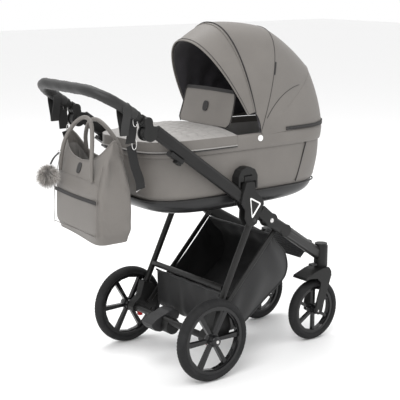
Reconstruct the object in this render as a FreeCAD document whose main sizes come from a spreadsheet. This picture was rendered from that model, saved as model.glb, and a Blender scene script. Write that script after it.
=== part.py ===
import FreeCAD, Part
import math
import os
import Sketcher
from types import SimpleNamespace

# A pram: a folding wheeled chassis that carries a removable carrycot, with a tote bag hung on its handle.
# +X points to the front wheels, +Y to the left side, +Z up. The origin is on the ground, under the
# middle of the whole pram. Heights are above the ground; distances along X are from the rear axle.

os.makedirs("parts", exist_ok=True)
doc = FreeCAD.newDocument("pram")
sheet = doc.addObject("Spreadsheet::Sheet", "sizes")

DRIVING = [
    ("rear_axle_x", -122, "rear axle, from the origin"),
    ("wheel_base", 588, "rear axle to front axle"),
    ("rear_wheel_radius", 150, "rear tyre, a 12 inch pram wheel"),
    ("front_wheel_radius", 121, "front tyre"),
    ("rear_track", 533, "between the middles of the rear tyres"),
    ("front_track", 320, "between the middles of the front tyres"),
    ("rear_tyre_wide", 44, "rear tyre across"),
    ("front_tyre_wide", 41, "front tyre across"),
    ("side_y", 225, "middle of the side tubes from the centre plane"),
    ("tube_wide", 26, "main tube across"),
    ("tube_tall", 46, "main tube deep"),
    ("tube_wall", 2, "wall of the aluminium tubes"),
    ("joint_radius", 27, "round cheeks of the fold joint"),
    ("cheek_thick", 6.5, "thickness of a joint cheek"),
    ("pin_radius", 5, "pivot pins"),
    ("running_gap", 0.05, "radial clearance of a turning fit"),
    ("side_gap", 1, "gap beside a moving tongue"),
    ("axle_radius", 6, "wheel axles"),
    ("grip_radius", 18.5, "outside of the grip cover"),
    ("handle_radius", 14, "handle tube"),
    ("cot_long", 854, "carrycot rim, end to end"),
    ("cot_wide", 400, "carrycot rim, side to side"),
    ("cot_wall", 10, "carrycot wall"),
    ("rim_top", 855, "height of the carrycot rim"),
    ("cot_floor", 640, "height where the soft sides meet the moulded base"),
    ("cot_bottom", 578, "height of the base's underside"),
    ("hood_reach", 410, "hood pivot to the outside of the rear hood panel"),
    ("hood_half", 204, "half width of the hood at its pivot"),
    ("bag_wide", 330, "tote bag across"),
    ("bag_deep", 150, "tote bag front to back"),
    ("bag_tall", 265, "tote bag body"),
]


class Size:
    """A length that knows its value and the spreadsheet formula it comes from."""

    def __init__(self, value, text):
        self.value = float(value)
        self.text = text

    def join(self, sign, other, value):
        return Size(value, f"({self.text} {sign} {formula(other)})")

    def __add__(self, other):
        return self.join("+", other, self.value + number(other))

    def __sub__(self, other):
        return self.join("-", other, self.value - number(other))

    def __mul__(self, other):
        return self.join("*", other, self.value * number(other))

    def __truediv__(self, other):
        return self.join("/", other, self.value / number(other))

    __radd__ = __add__
    __rmul__ = __mul__


def number(length):
    return length.value if isinstance(length, Size) else float(length)


def formula(length):
    return length.text if isinstance(length, Size) else repr(float(length))


def bind(thing, prop, length):
    """Set a property, through the sheet where the length comes from it."""
    if isinstance(length, Size):
        thing.setExpression(prop, length.text)
    else:
        setattr(thing, prop, length)


for row, (alias, value, meaning) in enumerate(DRIVING, 1):
    sheet.set(f"A{row}", meaning)
    sheet.set(f"B{row}", str(value))
    sheet.setAlias(f"B{row}", alias)
doc.recompute()
size = SimpleNamespace(**{alias: Size(value, "sizes." + alias) for alias, value, meaning in DRIVING})

SIDES = (("left", 1), ("right", -1))
parts = []


def along(x):
    """A place along X, given from the rear axle."""
    return size.rear_axle_x + x


# ---------------------------------------------------------------- ways of making a piece


def place(thing, x=0, y=0, z=0, turn=None):
    """Put a piece at a point, turned by a rotation."""
    base = FreeCAD.Vector(number(x), number(y), number(z))
    thing.Placement = FreeCAD.Placement(base, turn or FreeCAD.Rotation())
    for letter, length in (("x", x), ("y", y), ("z", z)):
        if isinstance(length, Size):
            thing.setExpression("Placement.Base." + letter, length.text)
    return thing


def about_y(degrees):
    return FreeCAD.Rotation(FreeCAD.Vector(0, 1, 0), degrees)


def keep(thing, label):
    """Name a finished sub-part."""
    thing.Label = label
    parts.append(thing)
    return thing


def new_sketch(body, role):
    plane = next(f for f in body.Origin.OriginFeatures if f.Role == role)
    sketch = body.newObject("Sketcher::SketchObject", "Outline")
    sketch.AttachmentSupport = (plane, [""])
    sketch.MapMode = "FlatFace"
    return sketch


def fix_point(sketch, line, end, x, y):
    """Hold a sketch point at a place that the sheet drives."""
    for axis, length, zero_line in (("X", x, -2), ("Y", y, -1)):
        if number(length) == 0:
            sketch.addConstraint(Sketcher.Constraint("PointOnObject", line, end, zero_line))
            continue
        datum = Sketcher.Constraint("Distance" + axis, -1, 1, line, end, number(length))
        index = sketch.addConstraint(datum)
        if isinstance(length, Size):
            name = f"{axis}_{line}_{end}"
            sketch.renameConstraint(index, name)
            sketch.setExpression("Constraints." + name, length.text)


def add_outline(sketch, points):
    """A closed outline of straight lines."""
    first = sketch.GeometryCount
    count = len(points)
    corners = [FreeCAD.Vector(number(x), number(y), 0) for x, y in points]
    for i in range(count):
        sketch.addGeometry(Part.LineSegment(corners[i], corners[(i + 1) % count]))
    for i in range(count):
        following = first + (i + 1) % count
        sketch.addConstraint(Sketcher.Constraint("Coincident", first + i, 2, following, 1))
    for i, (x, y) in enumerate(points):
        fix_point(sketch, first + i, 1, x, y)


def add_rounded(sketch, length, width, radius):
    """A rectangle about the sketch's origin with round corners."""
    half_l, half_w, r = number(length) / 2, number(width) / 2, number(radius)
    first = sketch.GeometryCount
    corners = [(1, 1, 0), (-1, 1, 90), (-1, -1, 180), (1, -1, 270)]
    for sx, sy, start in corners:
        centre = FreeCAD.Vector(sx * (half_l - r), sy * (half_w - r), 0)
        circle = Part.Circle(centre, FreeCAD.Vector(0, 0, 1), r)
        begin = math.radians(start)
        sketch.addGeometry(Part.ArcOfCircle(circle, begin, begin + math.pi / 2))
    straight = [first + 4 + i for i in range(4)]
    ends = [(half_l - r, half_w, -(half_l - r), half_w), (-half_l, half_w - r, -half_l, -(half_w - r)),
            (-(half_l - r), -half_w, half_l - r, -half_w), (half_l, -(half_w - r), half_l, half_w - r)]
    for x0, y0, x1, y1 in ends:
        sketch.addGeometry(Part.LineSegment(FreeCAD.Vector(x0, y0, 0), FreeCAD.Vector(x1, y1, 0)))
    for i in range(4):
        sketch.addConstraint(Sketcher.Constraint("Tangent", first + i, 2, straight[i], 1))
        sketch.addConstraint(Sketcher.Constraint("Tangent", straight[i], 2, first + (i + 1) % 4, 1))
    for i in range(3):
        sketch.addConstraint(Sketcher.Constraint("Equal", first + i, first + i + 1))
    sketch.addConstraint(Sketcher.Constraint("Horizontal", straight[0]))
    sketch.addConstraint(Sketcher.Constraint("Vertical", straight[1]))
    sketch.addConstraint(Sketcher.Constraint("Symmetric", first, 3, first + 2, 3, -1, 1))
    size_limits = (("Radius", (first,), r, radius, "corner"),
                   ("DistanceX", (straight[1], 1, straight[3], 1), 2 * half_l, length, "length"),
                   ("DistanceY", (straight[2], 1, straight[0], 1), 2 * half_w, width, "width"))
    for kind, where, value, source, name in size_limits:
        index = sketch.addConstraint(Sketcher.Constraint(kind, *where, value))
        if isinstance(source, Size):
            sketch.renameConstraint(index, f"{name}_{first}")
            sketch.setExpression(f"Constraints.{name}_{first}", source.text)


def add_circle(sketch, x, y, radius):
    line = sketch.addGeometry(Part.Circle(FreeCAD.Vector(number(x), number(y), 0),
                                          FreeCAD.Vector(0, 0, 1), number(radius)))
    fix_point(sketch, line, 3, x, y)
    index = sketch.addConstraint(Sketcher.Constraint("Radius", line, number(radius)))
    if isinstance(radius, Size):
        sketch.renameConstraint(index, f"radius_{line}")
        sketch.setExpression(f"Constraints.radius_{line}", radius.text)


def new_body(name):
    return doc.addObject("PartDesign::Body", name)


def pad(body, sketch, length, both_ways=False):
    feature = body.newObject("PartDesign::Pad", "Pad")
    feature.Profile = sketch
    feature.SideType = "Symmetric" if both_ways else "One side"
    bind(feature, "Length", length)
    return feature


def prism(name, points, y, wide, hole=None):
    """A plate across the pram: an outline in X and Z, with an optional round hole through it."""
    body = new_body(name)
    sketch = new_sketch(body, "XZ_Plane")
    add_outline(sketch, points)
    if hole:
        add_circle(sketch, *hole)
    pad(body, sketch, wide, both_ways=True)
    return place(body, 0, y, 0)


def toward(start, end):
    """The rotation that turns +Z along a line and keeps local Y near the pram's Y."""
    way = FreeCAD.Vector(*(number(b) - number(a) for a, b in zip(start, end)))
    return FreeCAD.Rotation(FreeCAD.Vector(1, 0, 0), FreeCAD.Vector(0, 1, 0), way, "ZYX")


def distance(start, end):
    return math.dist([number(v) for v in start], [number(v) for v in end])


def bar(name, start, end, wide, tall, wall=None):
    """A straight bar of flattened oval section; local Y is its width."""
    body = new_body(name)
    sketch = new_sketch(body, "XY_Plane")
    radius = wide * 0.48
    add_rounded(sketch, tall, wide, radius)
    if wall is not None:
        inner_wide = wide + wall * -2
        add_rounded(sketch, tall + wall * -2, inner_wide, inner_wide * 0.46)
    pad(body, sketch, distance(start, end))
    return place(body, *start, toward(start, end))


def rod(name, x, y, z, radius, long, axis=(0, 1, 0)):
    """A round rod centred on a point, along an axis."""
    thing = doc.addObject("Part::Cylinder", name)
    bind(thing, "Radius", radius)
    bind(thing, "Height", long)
    way = FreeCAD.Vector(*axis)
    turn = FreeCAD.Rotation(FreeCAD.Vector(0, 0, 1), way)
    back = way * (number(long) / -2)
    base = FreeCAD.Vector(number(x), number(y), number(z)) + back
    thing.Placement = FreeCAD.Placement(base, turn)
    for letter, length, shift in (("x", x, back.x), ("y", y, back.y), ("z", z, back.z)):
        if isinstance(length, Size):
            thing.setExpression("Placement.Base." + letter, (length + shift).text)
    return thing


def block(name, x, y, z, long, wide, tall, turn=None):
    """A box centred on a point."""
    thing = doc.addObject("Part::Box", name)
    for prop, length in (("Length", long), ("Width", wide), ("Height", tall)):
        bind(thing, prop, length)
    half = FreeCAD.Vector(number(long) / 2, number(wide) / 2, number(tall) / 2)
    turn = turn or FreeCAD.Rotation()
    shift = turn.multVec(half) * -1
    thing.Placement = FreeCAD.Placement(FreeCAD.Vector(number(x), number(y), number(z)) + shift, turn)
    for letter, length, move in (("x", x, shift.x), ("y", y, shift.y), ("z", z, shift.z)):
        if isinstance(length, Size):
            thing.setExpression("Placement.Base." + letter, (length + move).text)
    return thing


def join(name, *pieces):
    thing = doc.addObject("Part::MultiFuse", name)
    thing.Shapes = list(pieces)
    return thing


def less(name, base, *tools):
    for i, tool in enumerate(tools):
        cut = doc.addObject("Part::Cut", f"{name}_cut{i}")
        cut.Base = base
        cut.Tool = tool
        base = cut
    return base


def group(name, *pieces):
    """Equal pieces that share one sub-part, as separate solids."""
    thing = doc.addObject("Part::Compound", name)
    thing.Links = list(pieces)
    return thing


def solid_of_revolution(name, points):
    """A turned piece about the Y axis: points are (radius, y)."""
    body = new_body(name)
    sketch = new_sketch(body, "XY_Plane")
    add_outline(sketch, points)
    feature = body.newObject("PartDesign::Revolution", "Revolution")
    feature.Profile = sketch
    feature.ReferenceAxis = (sketch, ["V_Axis"])
    feature.Angle = 360
    return body


# ---------------------------------------------------------------- key places of the chassis

side = size.side_y
TUBE_TOP = (along(-210), 909)
HANDLE_JOINT = (along(-240), 905)
FOLD_JOINT = (along(294), 537)
STAY_JOINT = (along(350), 485)
LEG_JOINT = (along(210), 550)
SWIVEL = (along(626), size.front_track / 2)
REAR_AXLE_Z = size.rear_wheel_radius
FRONT_AXLE = (along(size.wheel_base), size.front_wheel_radius)
TUBE_ANGLE = math.atan2(909 - 542, 295 + 210)


def on_tube(t, off=0):
    """A point t down the main tube from its top, off above its middle line."""
    down = t * math.sin(TUBE_ANGLE) - off * math.cos(TUBE_ANGLE)
    out = t * math.cos(TUBE_ANGLE) + off * math.sin(TUBE_ANGLE)
    return TUBE_TOP[0] + out, TUBE_TOP[1] - down


TUBE_START, TUBE_END = 2, 588
tongue_wide = size.tube_wide + size.side_gap * -2
cheek_out = side + size.tube_wide / 2 + size.cheek_thick / 2
cheek_in = side + size.tube_wide / -2 + size.cheek_thick / -2


def cheek_pair(name, sign, joint, hub_outline):
    """Two cheeks, outside and inside a side tube, round the fold joint and back along the tube."""
    plates = []
    for label, y in (("out", cheek_out), ("in", cheek_in)):
        y_here = y * sign
        disc = rod(f"{name}_{label}_disc", joint[0], y_here, joint[1], size.joint_radius,
                   size.cheek_thick)
        arm_start = on_tube(560)
        arm = bar(f"{name}_{label}_arm", (arm_start[0], y_here, arm_start[1]),
                  (joint[0], y_here, joint[1]), size.cheek_thick, size.tube_tall)
        hole = rod(f"{name}_{label}_hole", joint[0], y_here, joint[1], size.pin_radius,
                   size.cheek_thick * 3)
        hub_room = prism(f"{name}_{label}_hub_room", hub_outline, y_here, size.cheek_thick * 3)
        solid = join(f"{name}_{label}_solid", disc, arm)
        plates.append(less(f"{name}_{label}", solid, hole, hub_room))
    return plates


# ---------------------------------------------------------------- upper frame

HUB = [(172, 692), (208, 692), (216, 656), (252, 620), (254, 604), (228, 556), (222, 538), (206, 530),
       (180, 534), (168, 560), (170, 590), (150, 617), (156, 652)]
HUB_OUTLINE = [(along(x), z) for x, z in HUB]
LEVER_LONG, LEVER_WIDE, LEVER_TALL = 62, 30, 14
BUTTON_RADIUS, BUTTON_THICK, BUTTON_OFF = 12, 9, -20
TUBE_HALF_TALL = number(size.tube_tall) / 2
for label, sign in SIDES:
    y = side * sign
    start = (*on_tube(TUBE_START),)
    end = (*on_tube(TUBE_END),)
    ends = (start[0], y, start[1]), (end[0], y, end[1])
    tube = bar(f"main_tube_{label}_body", *ends, size.tube_wide, size.tube_tall, size.tube_wall)
    keep(tube, f"main_tube_{label}")

    hub_wide = size.tube_wide + size.cheek_thick * 2
    hub = prism(f"hub_{label}_block", HUB_OUTLINE, y, hub_wide)
    tube_room = bar(f"hub_{label}_tube_room", *ends, size.tube_wide, size.tube_tall)
    below = [on_tube(300, -20), on_tube(600, -20), on_tube(600, -140), on_tube(300, -140)]
    leg_room = prism(f"hub_{label}_leg_room", below, y, size.tube_wide)
    pin_room = rod(f"hub_{label}_pin_room", LEG_JOINT[0], y, LEG_JOINT[1], size.pin_radius, 80)
    keep(less(f"hub_{label}", hub, tube_room, leg_room, pin_room), f"hub_{label}")

    lever_at = on_tube(124, -(TUBE_HALF_TALL + LEVER_TALL / 2 + 0.6))
    lever = block(f"lever_{label}", lever_at[0], y, lever_at[1], LEVER_LONG, LEVER_WIDE, LEVER_TALL,
                  about_y(math.degrees(TUBE_ANGLE)))
    ridge_at = on_tube(142, -(TUBE_HALF_TALL + LEVER_TALL + 4))
    ridge = block(f"lever_{label}_ridge", ridge_at[0], y, ridge_at[1], 22, 24, 10,
                  about_y(math.degrees(TUBE_ANGLE)))
    keep(join(f"release_lever_{label}_body", lever, ridge), f"release_lever_{label}")

    button = rod(f"button_{label}", HANDLE_JOINT[0], (side + BUTTON_OFF) * sign, HANDLE_JOINT[1],
                 BUTTON_RADIUS, BUTTON_THICK)
    keep(button, f"handle_button_{label}")


def rounded_corners(points, radius, steps=4):
    """An outline with each corner replaced by a short curve."""
    curve = []
    for i, corner in enumerate(points):
        ends = []
        for other in (points[i - 1], points[(i + 1) % len(points)]):
            reach = radius / math.dist(corner, other)
            ends.append((corner[0] + (other[0] - corner[0]) * reach,
                         corner[1] + (other[1] - corner[1]) * reach))
        for k in range(steps + 1):
            t = k / steps
            curve.append(tuple((1 - t) ** 2 * a + 2 * t * (1 - t) * c + t * t * b
                               for a, c, b in zip(ends[0], corner, ends[1])))
    return curve


badges = []
adapters = []
for label, sign in SIDES:
    badge_y = (cheek_out + size.cheek_thick / 2 + 0.75) * sign
    triangle = [(along(x), z) for x, z in rounded_corners([(187, 638), (241, 609), (197, 556)], 10)]
    opening = [(along(x), z) for x, z in rounded_corners([(192, 629), (232, 608), (199, 568)], 6)]
    plate = prism(f"badge_{label}_plate", triangle, badge_y, 1.5)
    window = prism(f"badge_{label}_window", opening, badge_y, 6)
    badges.append(less(f"badge_{label}", plate, window))
    post = block(f"adapter_{label}_post", along(190), side * sign, 702, 34, 16, 20)
    tongue = block(f"adapter_{label}_tongue", along(190), (side + -5) * sign, 722, 28, 8, 20)
    adapters.append(join(f"adapter_{label}", post, tongue))
keep(group("badges", *badges), "hub_badges")
keep(group("adapter_pair", *adapters), "carrycot_adapters")

TONGUE_WEB = [on_tube(TUBE_START, 19), on_tube(TUBE_START, -21),
              (HANDLE_JOINT[0] - 3, HANDLE_JOINT[1] - 23), (HANDLE_JOINT[0] + 4, HANDLE_JOINT[1] + 23)]
plates = []
sockets = []
pins = []
for label, sign in SIDES:
    plates += cheek_pair(f"fold_{label}", sign, FOLD_JOINT, HUB_OUTLINE)
    tongue = rod(f"handle_tongue_{label}_disc", HANDLE_JOINT[0], side * sign, HANDLE_JOINT[1], 23.5,
                 tongue_wide)
    web = prism(f"handle_tongue_{label}_web", TONGUE_WEB, side * sign, tongue_wide)
    plug_start, plug_end = on_tube(TUBE_START), on_tube(40)
    plug = bar(f"handle_tongue_{label}_plug", (plug_start[0], side * sign, plug_start[1]),
               (plug_end[0], side * sign, plug_end[1]), size.tube_wide + size.tube_wall * -2 - 0.2,
               size.tube_tall + size.tube_wall * -2 - 0.2)
    pin_room = rod(f"handle_tongue_{label}_pin", HANDLE_JOINT[0], side * sign, HANDLE_JOINT[1],
                   size.pin_radius + size.running_gap, 80)
    sockets.append(less(f"handle_tongue_{label}", join(f"handle_tongue_{label}_solid", tongue, web, plug),
                        pin_room))
    pin_long = size.tube_wide + size.cheek_thick * 2
    for pin_name, joint in (("fold", FOLD_JOINT), ("leg", LEG_JOINT)):
        pins.append(rod(f"{pin_name}_pin_{label}", joint[0], side * sign, joint[1], size.pin_radius,
                        pin_long))
keep(group("fold_plate_set", *plates), "fold_plates")
keep(group("handle_socket_set", *sockets), "handle_sockets")
keep(group("pivot_pin_set", *pins), "pivot_pins")

# ---------------------------------------------------------------- handle

GRIP_LOW = (-248, 943.5)
GRIP_HIGH = (-415.6, 1051.3)
handle_half = 222
CORNER = 107
grip_turn = math.atan2(GRIP_HIGH[1] - GRIP_LOW[1], GRIP_LOW[0] - GRIP_HIGH[0])
ARM_LONG = math.dist(GRIP_LOW, GRIP_HIGH)


def bent_handle(name, arm_start, outer, inner=None):
    """The U of the handle as a swept tube, from a distance up each arm, round the crossbar."""
    body = new_body(name)
    path = new_sketch(body, "XY_Plane")
    reach, half, r = -ARM_LONG, handle_half, CORNER
    begin = -arm_start
    vec = FreeCAD.Vector
    path.addGeometry(Part.LineSegment(vec(begin, -half, 0), vec(reach + r, -half, 0)))
    circle = Part.Circle(vec(reach + r, -half + r, 0), vec(0, 0, 1), r)
    path.addGeometry(Part.ArcOfCircle(circle, math.pi, 1.5 * math.pi))
    path.addGeometry(Part.LineSegment(vec(reach, -half + r, 0), vec(reach, half - r, 0)))
    circle = Part.Circle(vec(reach + r, half - r, 0), vec(0, 0, 1), r)
    path.addGeometry(Part.ArcOfCircle(circle, 0.5 * math.pi, math.pi))
    path.addGeometry(Part.LineSegment(vec(reach + r, half, 0), vec(begin, half, 0)))
    for a, a_end, b, b_end in ((0, 2, 1, 2), (1, 1, 2, 1), (2, 2, 3, 2), (3, 1, 4, 1)):
        path.addConstraint(Sketcher.Constraint("Coincident", a, a_end, b, b_end))
    path.addConstraint(Sketcher.Constraint("Block", 0))
    path.addConstraint(Sketcher.Constraint("Block", 2))
    path.addConstraint(Sketcher.Constraint("Block", 4))
    ring = new_sketch(body, "YZ_Plane")
    ring.AttachmentOffset = FreeCAD.Placement(vec(0, 0, begin), FreeCAD.Rotation())
    add_circle(ring, -half, 0, outer)
    if inner:
        add_circle(ring, -half, 0, inner)
    doc.recompute()
    pipe = body.newObject("PartDesign::AdditivePipe", "Pipe")
    pipe.Profile = ring
    pipe.Spine = (path, [f"Edge{i}" for i in range(1, 6)])
    return place(body, along(GRIP_LOW[0]), 0, GRIP_LOW[1], about_y(math.degrees(grip_turn)))


keep(bent_handle("handle_tube_body", 20, size.handle_radius, size.handle_radius + -2), "handle_tube")
keep(bent_handle("grip_body", 46, size.grip_radius, size.handle_radius + 0.05), "grip_cover")
knuckles = []
grip_way = (-math.cos(grip_turn), 0, math.sin(grip_turn))
low_x, low_z = along(GRIP_LOW[0]), GRIP_LOW[1]
neck_long = math.dist((-240, 905), GRIP_LOW)
neck_way = ((GRIP_LOW[0] + 240) / neck_long, (GRIP_LOW[1] - 905) / neck_long)
for label, sign in SIDES:
    y = side * sign
    shapes = []
    for k, cheek_y in enumerate((cheek_out + 0.3, cheek_in + -0.3)):
        shapes.append(rod(f"knuckle_{label}_disc{k}", HANDLE_JOINT[0], cheek_y * sign, HANDLE_JOINT[1],
                          27, size.cheek_thick))
        shapes.append(bar(f"knuckle_{label}_arm{k}", (HANDLE_JOINT[0], cheek_y * sign, HANDLE_JOINT[1]),
                          (low_x, cheek_y * sign, low_z), size.cheek_thick, 34))
    inner_end = (HANDLE_JOINT[0] + neck_way[0] * 28, y, HANDLE_JOINT[1] + neck_way[1] * 28)
    bridge_wide = size.tube_wide + size.cheek_thick * 2 + 0.6
    shapes.append(bar(f"knuckle_{label}_bridge", inner_end, (low_x, y, low_z), bridge_wide, 34))
    bend = rod(f"knuckle_{label}_bend", low_x, y, low_z, 17, bridge_wide)
    bend_room = rod(f"knuckle_{label}_bend_room", HANDLE_JOINT[0], y, HANDLE_JOINT[1], 28, tongue_wide + 2)
    shapes.append(less(f"knuckle_{label}_bend_cut", bend, bend_room))
    shapes.append(rod(f"knuckle_{label}_pin", HANDLE_JOINT[0], (side + 1) * sign, HANDLE_JOINT[1],
                      size.pin_radius, 25))
    for piece, from_end, long, r in (("collar", 9, 22, 16.5), ("spigot", 28, 24, 11.9)):
        shapes.append(rod(f"knuckle_{label}_{piece}", low_x + grip_way[0] * from_end,
                          handle_half * sign, low_z + grip_way[2] * from_end, r, long, grip_way))
    button_room = rod(f"knuckle_{label}_button_room", HANDLE_JOINT[0], (side + BUTTON_OFF) * sign,
                      HANDLE_JOINT[1], BUTTON_RADIUS + 0.5, BUTTON_THICK + 8)
    knuckles.append(less(f"knuckle_{label}", join(f"knuckle_{label}_solid", *shapes), button_room))
keep(group("knuckle_pair", *knuckles), "handle_knuckles")

# ---------------------------------------------------------------- front frame

BEND = (along(372), 486)
HEAD_RADIUS = 27
FRONT_TALL = 46
housings = []
for label, sign in SIDES:
    y = side * sign
    swivel_y = SWIVEL[1] * sign
    tongue = rod(f"front_tube_{label}_tongue", FOLD_JOINT[0], y, FOLD_JOINT[1], 25, tongue_wide)
    upper = bar(f"front_tube_{label}_upper", (FOLD_JOINT[0], y, FOLD_JOINT[1]), (BEND[0], y, BEND[1]),
                tongue_wide, FRONT_TALL)
    knee = rod(f"front_tube_{label}_knee", BEND[0], y, BEND[1], 23.5, tongue_wide)
    lower = bar(f"front_tube_{label}_lower", (BEND[0], y, BEND[1]), (along(618), swivel_y, 338),
                tongue_wide, FRONT_TALL)
    whole = join(f"front_tube_{label}_whole", tongue, upper, knee, lower)
    pin_room = rod(f"front_tube_{label}_pin", FOLD_JOINT[0], y, FOLD_JOINT[1],
                   size.pin_radius + size.running_gap, 80)
    stay_pin = rod(f"front_tube_{label}_stay_pin", STAY_JOINT[0], y, STAY_JOINT[1],
                   size.pin_radius + size.running_gap, 80)
    head_room = rod(f"front_tube_{label}_head", SWIVEL[0], swivel_y, 332, HEAD_RADIUS, 120, (0, 0, 1))
    keep(less(f"front_tube_{label}", whole, pin_room, stay_pin, head_room), f"front_tube_{label}")
    outer = rod(f"swivel_{label}_outer", SWIVEL[0], swivel_y, 333, HEAD_RADIUS, 82, (0, 0, 1))
    cap = rod(f"swivel_{label}_cap", SWIVEL[0], swivel_y, 378, 24, 12, (0, 0, 1))
    bore = rod(f"swivel_{label}_bore", SWIVEL[0], swivel_y, 325, 8 + number(size.running_gap), 80,
               (0, 0, 1))
    housings.append(less(f"swivel_{label}", join(f"swivel_{label}_solid", outer, cap), bore))
    lock = block(f"lock_{label}", along(584), swivel_y, 303, 26, 22, 8)
    keep(lock, f"swivel_lock_{label}")
keep(group("swivel_set", *housings), "swivel_housings")

PLATE_TURN = about_y(-42)
plate = block("footplate_slab", along(572), 0, 362, 84, 262, 10, PLATE_TURN)
cross = rod("footplate_tube", along(584), 0, 352, 9, 330)
footplate = join("footplate_body", plate, cross)
tools = [bar(f"footplate_room_{label}", (BEND[0], side * sign, BEND[1]),
             (along(618), SWIVEL[1] * sign, 338), tongue_wide, FRONT_TALL) for label, sign in SIDES]
keep(less("footplate", footplate, *tools), "footplate")

# ---------------------------------------------------------------- front wheels and forks


def wheel_rim(name, radius, rim_half, spoke_half, hub_half, hub_radius, bore, cap=0):
    """A rim with six wedge spokes: a turned disc with six windows cut through its web."""
    edge = radius + -26
    inner = radius + -38
    body = solid_of_revolution(name, [
        (bore, -hub_half), (hub_radius, -hub_half), (hub_radius, -spoke_half),
        (inner, -spoke_half), (inner, -rim_half), (edge, -rim_half), (edge, rim_half),
        (inner, rim_half), (inner, spoke_half), (hub_radius, spoke_half),
        (hub_radius, hub_half), (bore, hub_half)])
    window = new_sketch(body, "XZ_Plane")
    near, far = hub_radius + 5, number(inner) * 0.895
    wide_near, wide_far = near * 0.28, far * 0.48
    add_outline(window, [(near, -wide_near), (far, -wide_far), (far + 8, 0), (far, wide_far),
                         (near, wide_near)])
    doc.recompute()
    whole = body.Shape.Volume
    pocket = body.newObject("PartDesign::Pocket", "Window")
    pocket.Profile = window
    pocket.SideType = "Symmetric"
    pocket.Length = 60
    doc.recompute()
    if body.Shape.Volume >= whole:
        raise RuntimeError(f"{name}: the window cuts nothing")
    spokes = body.newObject("PartDesign::PolarPattern", "Windows")
    spokes.Originals = [pocket]
    spokes.Axis = (next(f for f in body.Origin.OriginFeatures if f.Role == "Y_Axis"), [""])
    spokes.Angle = 360
    spokes.Occurrences = 6
    body.Tip = spokes
    return body


def tyre(name, radius, wide):
    """A tyre as a turned ring with a rounded crown."""
    bed = radius + -26
    half = wide / 2
    return solid_of_revolution(name, [
        (bed, half * -0.72), (bed + 6, half * -0.92), (bed + 13, half * -1), (radius + -7, half * -0.84),
        (radius + -2, half * -0.55), (radius, half * -0.2), (radius, half * 0.2),
        (radius + -2, half * 0.55), (radius + -7, half * 0.84), (bed + 13, half),
        (bed + 6, half * 0.92), (bed, half * 0.72)])


bore = size.axle_radius + size.running_gap
for label, sign in SIDES:
    y = size.front_track / 2 * sign
    rim = wheel_rim(f"front_rim_{label}_body", size.front_wheel_radius, 13, 7, 20, 17, bore)
    keep(place(rim, FRONT_AXLE[0], y, FRONT_AXLE[1], about_y(0)), f"front_rim_{label}")
    ring = tyre(f"front_tyre_{label}_body", size.front_wheel_radius, size.front_tyre_wide)
    keep(place(ring, FRONT_AXLE[0], y, FRONT_AXLE[1]), f"front_tyre_{label}")
    axle = rod(f"front_axle_{label}_body", FRONT_AXLE[0], y, FRONT_AXLE[1], size.axle_radius, 68)
    keep(axle, f"front_axle_{label}")

    CROWN = [(514, 256), (518, 266), (543, 274), (575, 285), (605, 291), (638, 291), (650, 274),
             (652, 254), (645, 252), (640, 262), (620, 266), (590, 264), (560, 262), (530, 258)]
    crown = prism(f"fork_{label}_crown", [(along(x), z) for x, z in CROWN], y, 74)
    LEG = [(516, 262), (543, 273), (575, 284), (605, 290), (636, 290), (648, 272), (649, 250),
           (634, 207), (614, 152), (606, 118), (598, 108), (584, 107), (575, 114), (573, 140),
           (580, 172), (592, 206), (596, 236), (576, 255)]
    legs = [prism(f"fork_{label}_leg{k}", [(along(x), z) for x, z in LEG], y + 33.5 * k, 7,
                  (*FRONT_AXLE, size.axle_radius)) for k in (-1, 1)]
    stem = rod(f"fork_{label}_stem", SWIVEL[0], y, 322, 8, 76, (0, 0, 1))
    keep(join(f"fork_{label}_body", crown, *legs, stem), f"fork_{label}")

# ---------------------------------------------------------------- rear frame and axle

LEG_FOOT = (along(42), 205)
HOUSING = [(-16, 136), (-18, 152), (-10, 166), (20, 190), (38, 246), (76, 236), (96, 214), (104, 170),
           (90, 138), (40, 128), (10, 130)]
HOUSING_WIDE = 36
LEG_WIDE, LEG_TALL = 20, 24
RELEASE_X, RELEASE_OFF = along(22), -7
for label, sign in SIDES:
    y = side * sign
    start, end = (LEG_JOINT[0], y, LEG_JOINT[1]), (LEG_FOOT[0], y, LEG_FOOT[1])
    eye = rod(f"leg_{label}_eye", *start, 14, tongue_wide)
    shaft = bar(f"leg_{label}_shaft", start, end, LEG_WIDE, LEG_TALL)
    hole = rod(f"leg_{label}_hole", *start, size.pin_radius + size.running_gap, 60)
    keep(less(f"leg_{label}", join(f"leg_{label}_solid", eye, shaft), hole), f"rear_leg_{label}")
cross_ends = side + -LEG_WIDE / 2
keep(rod("rear_cross_body", along(90), 0, 310, 11, cross_ends * 2), "rear_crossbar")

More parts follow.
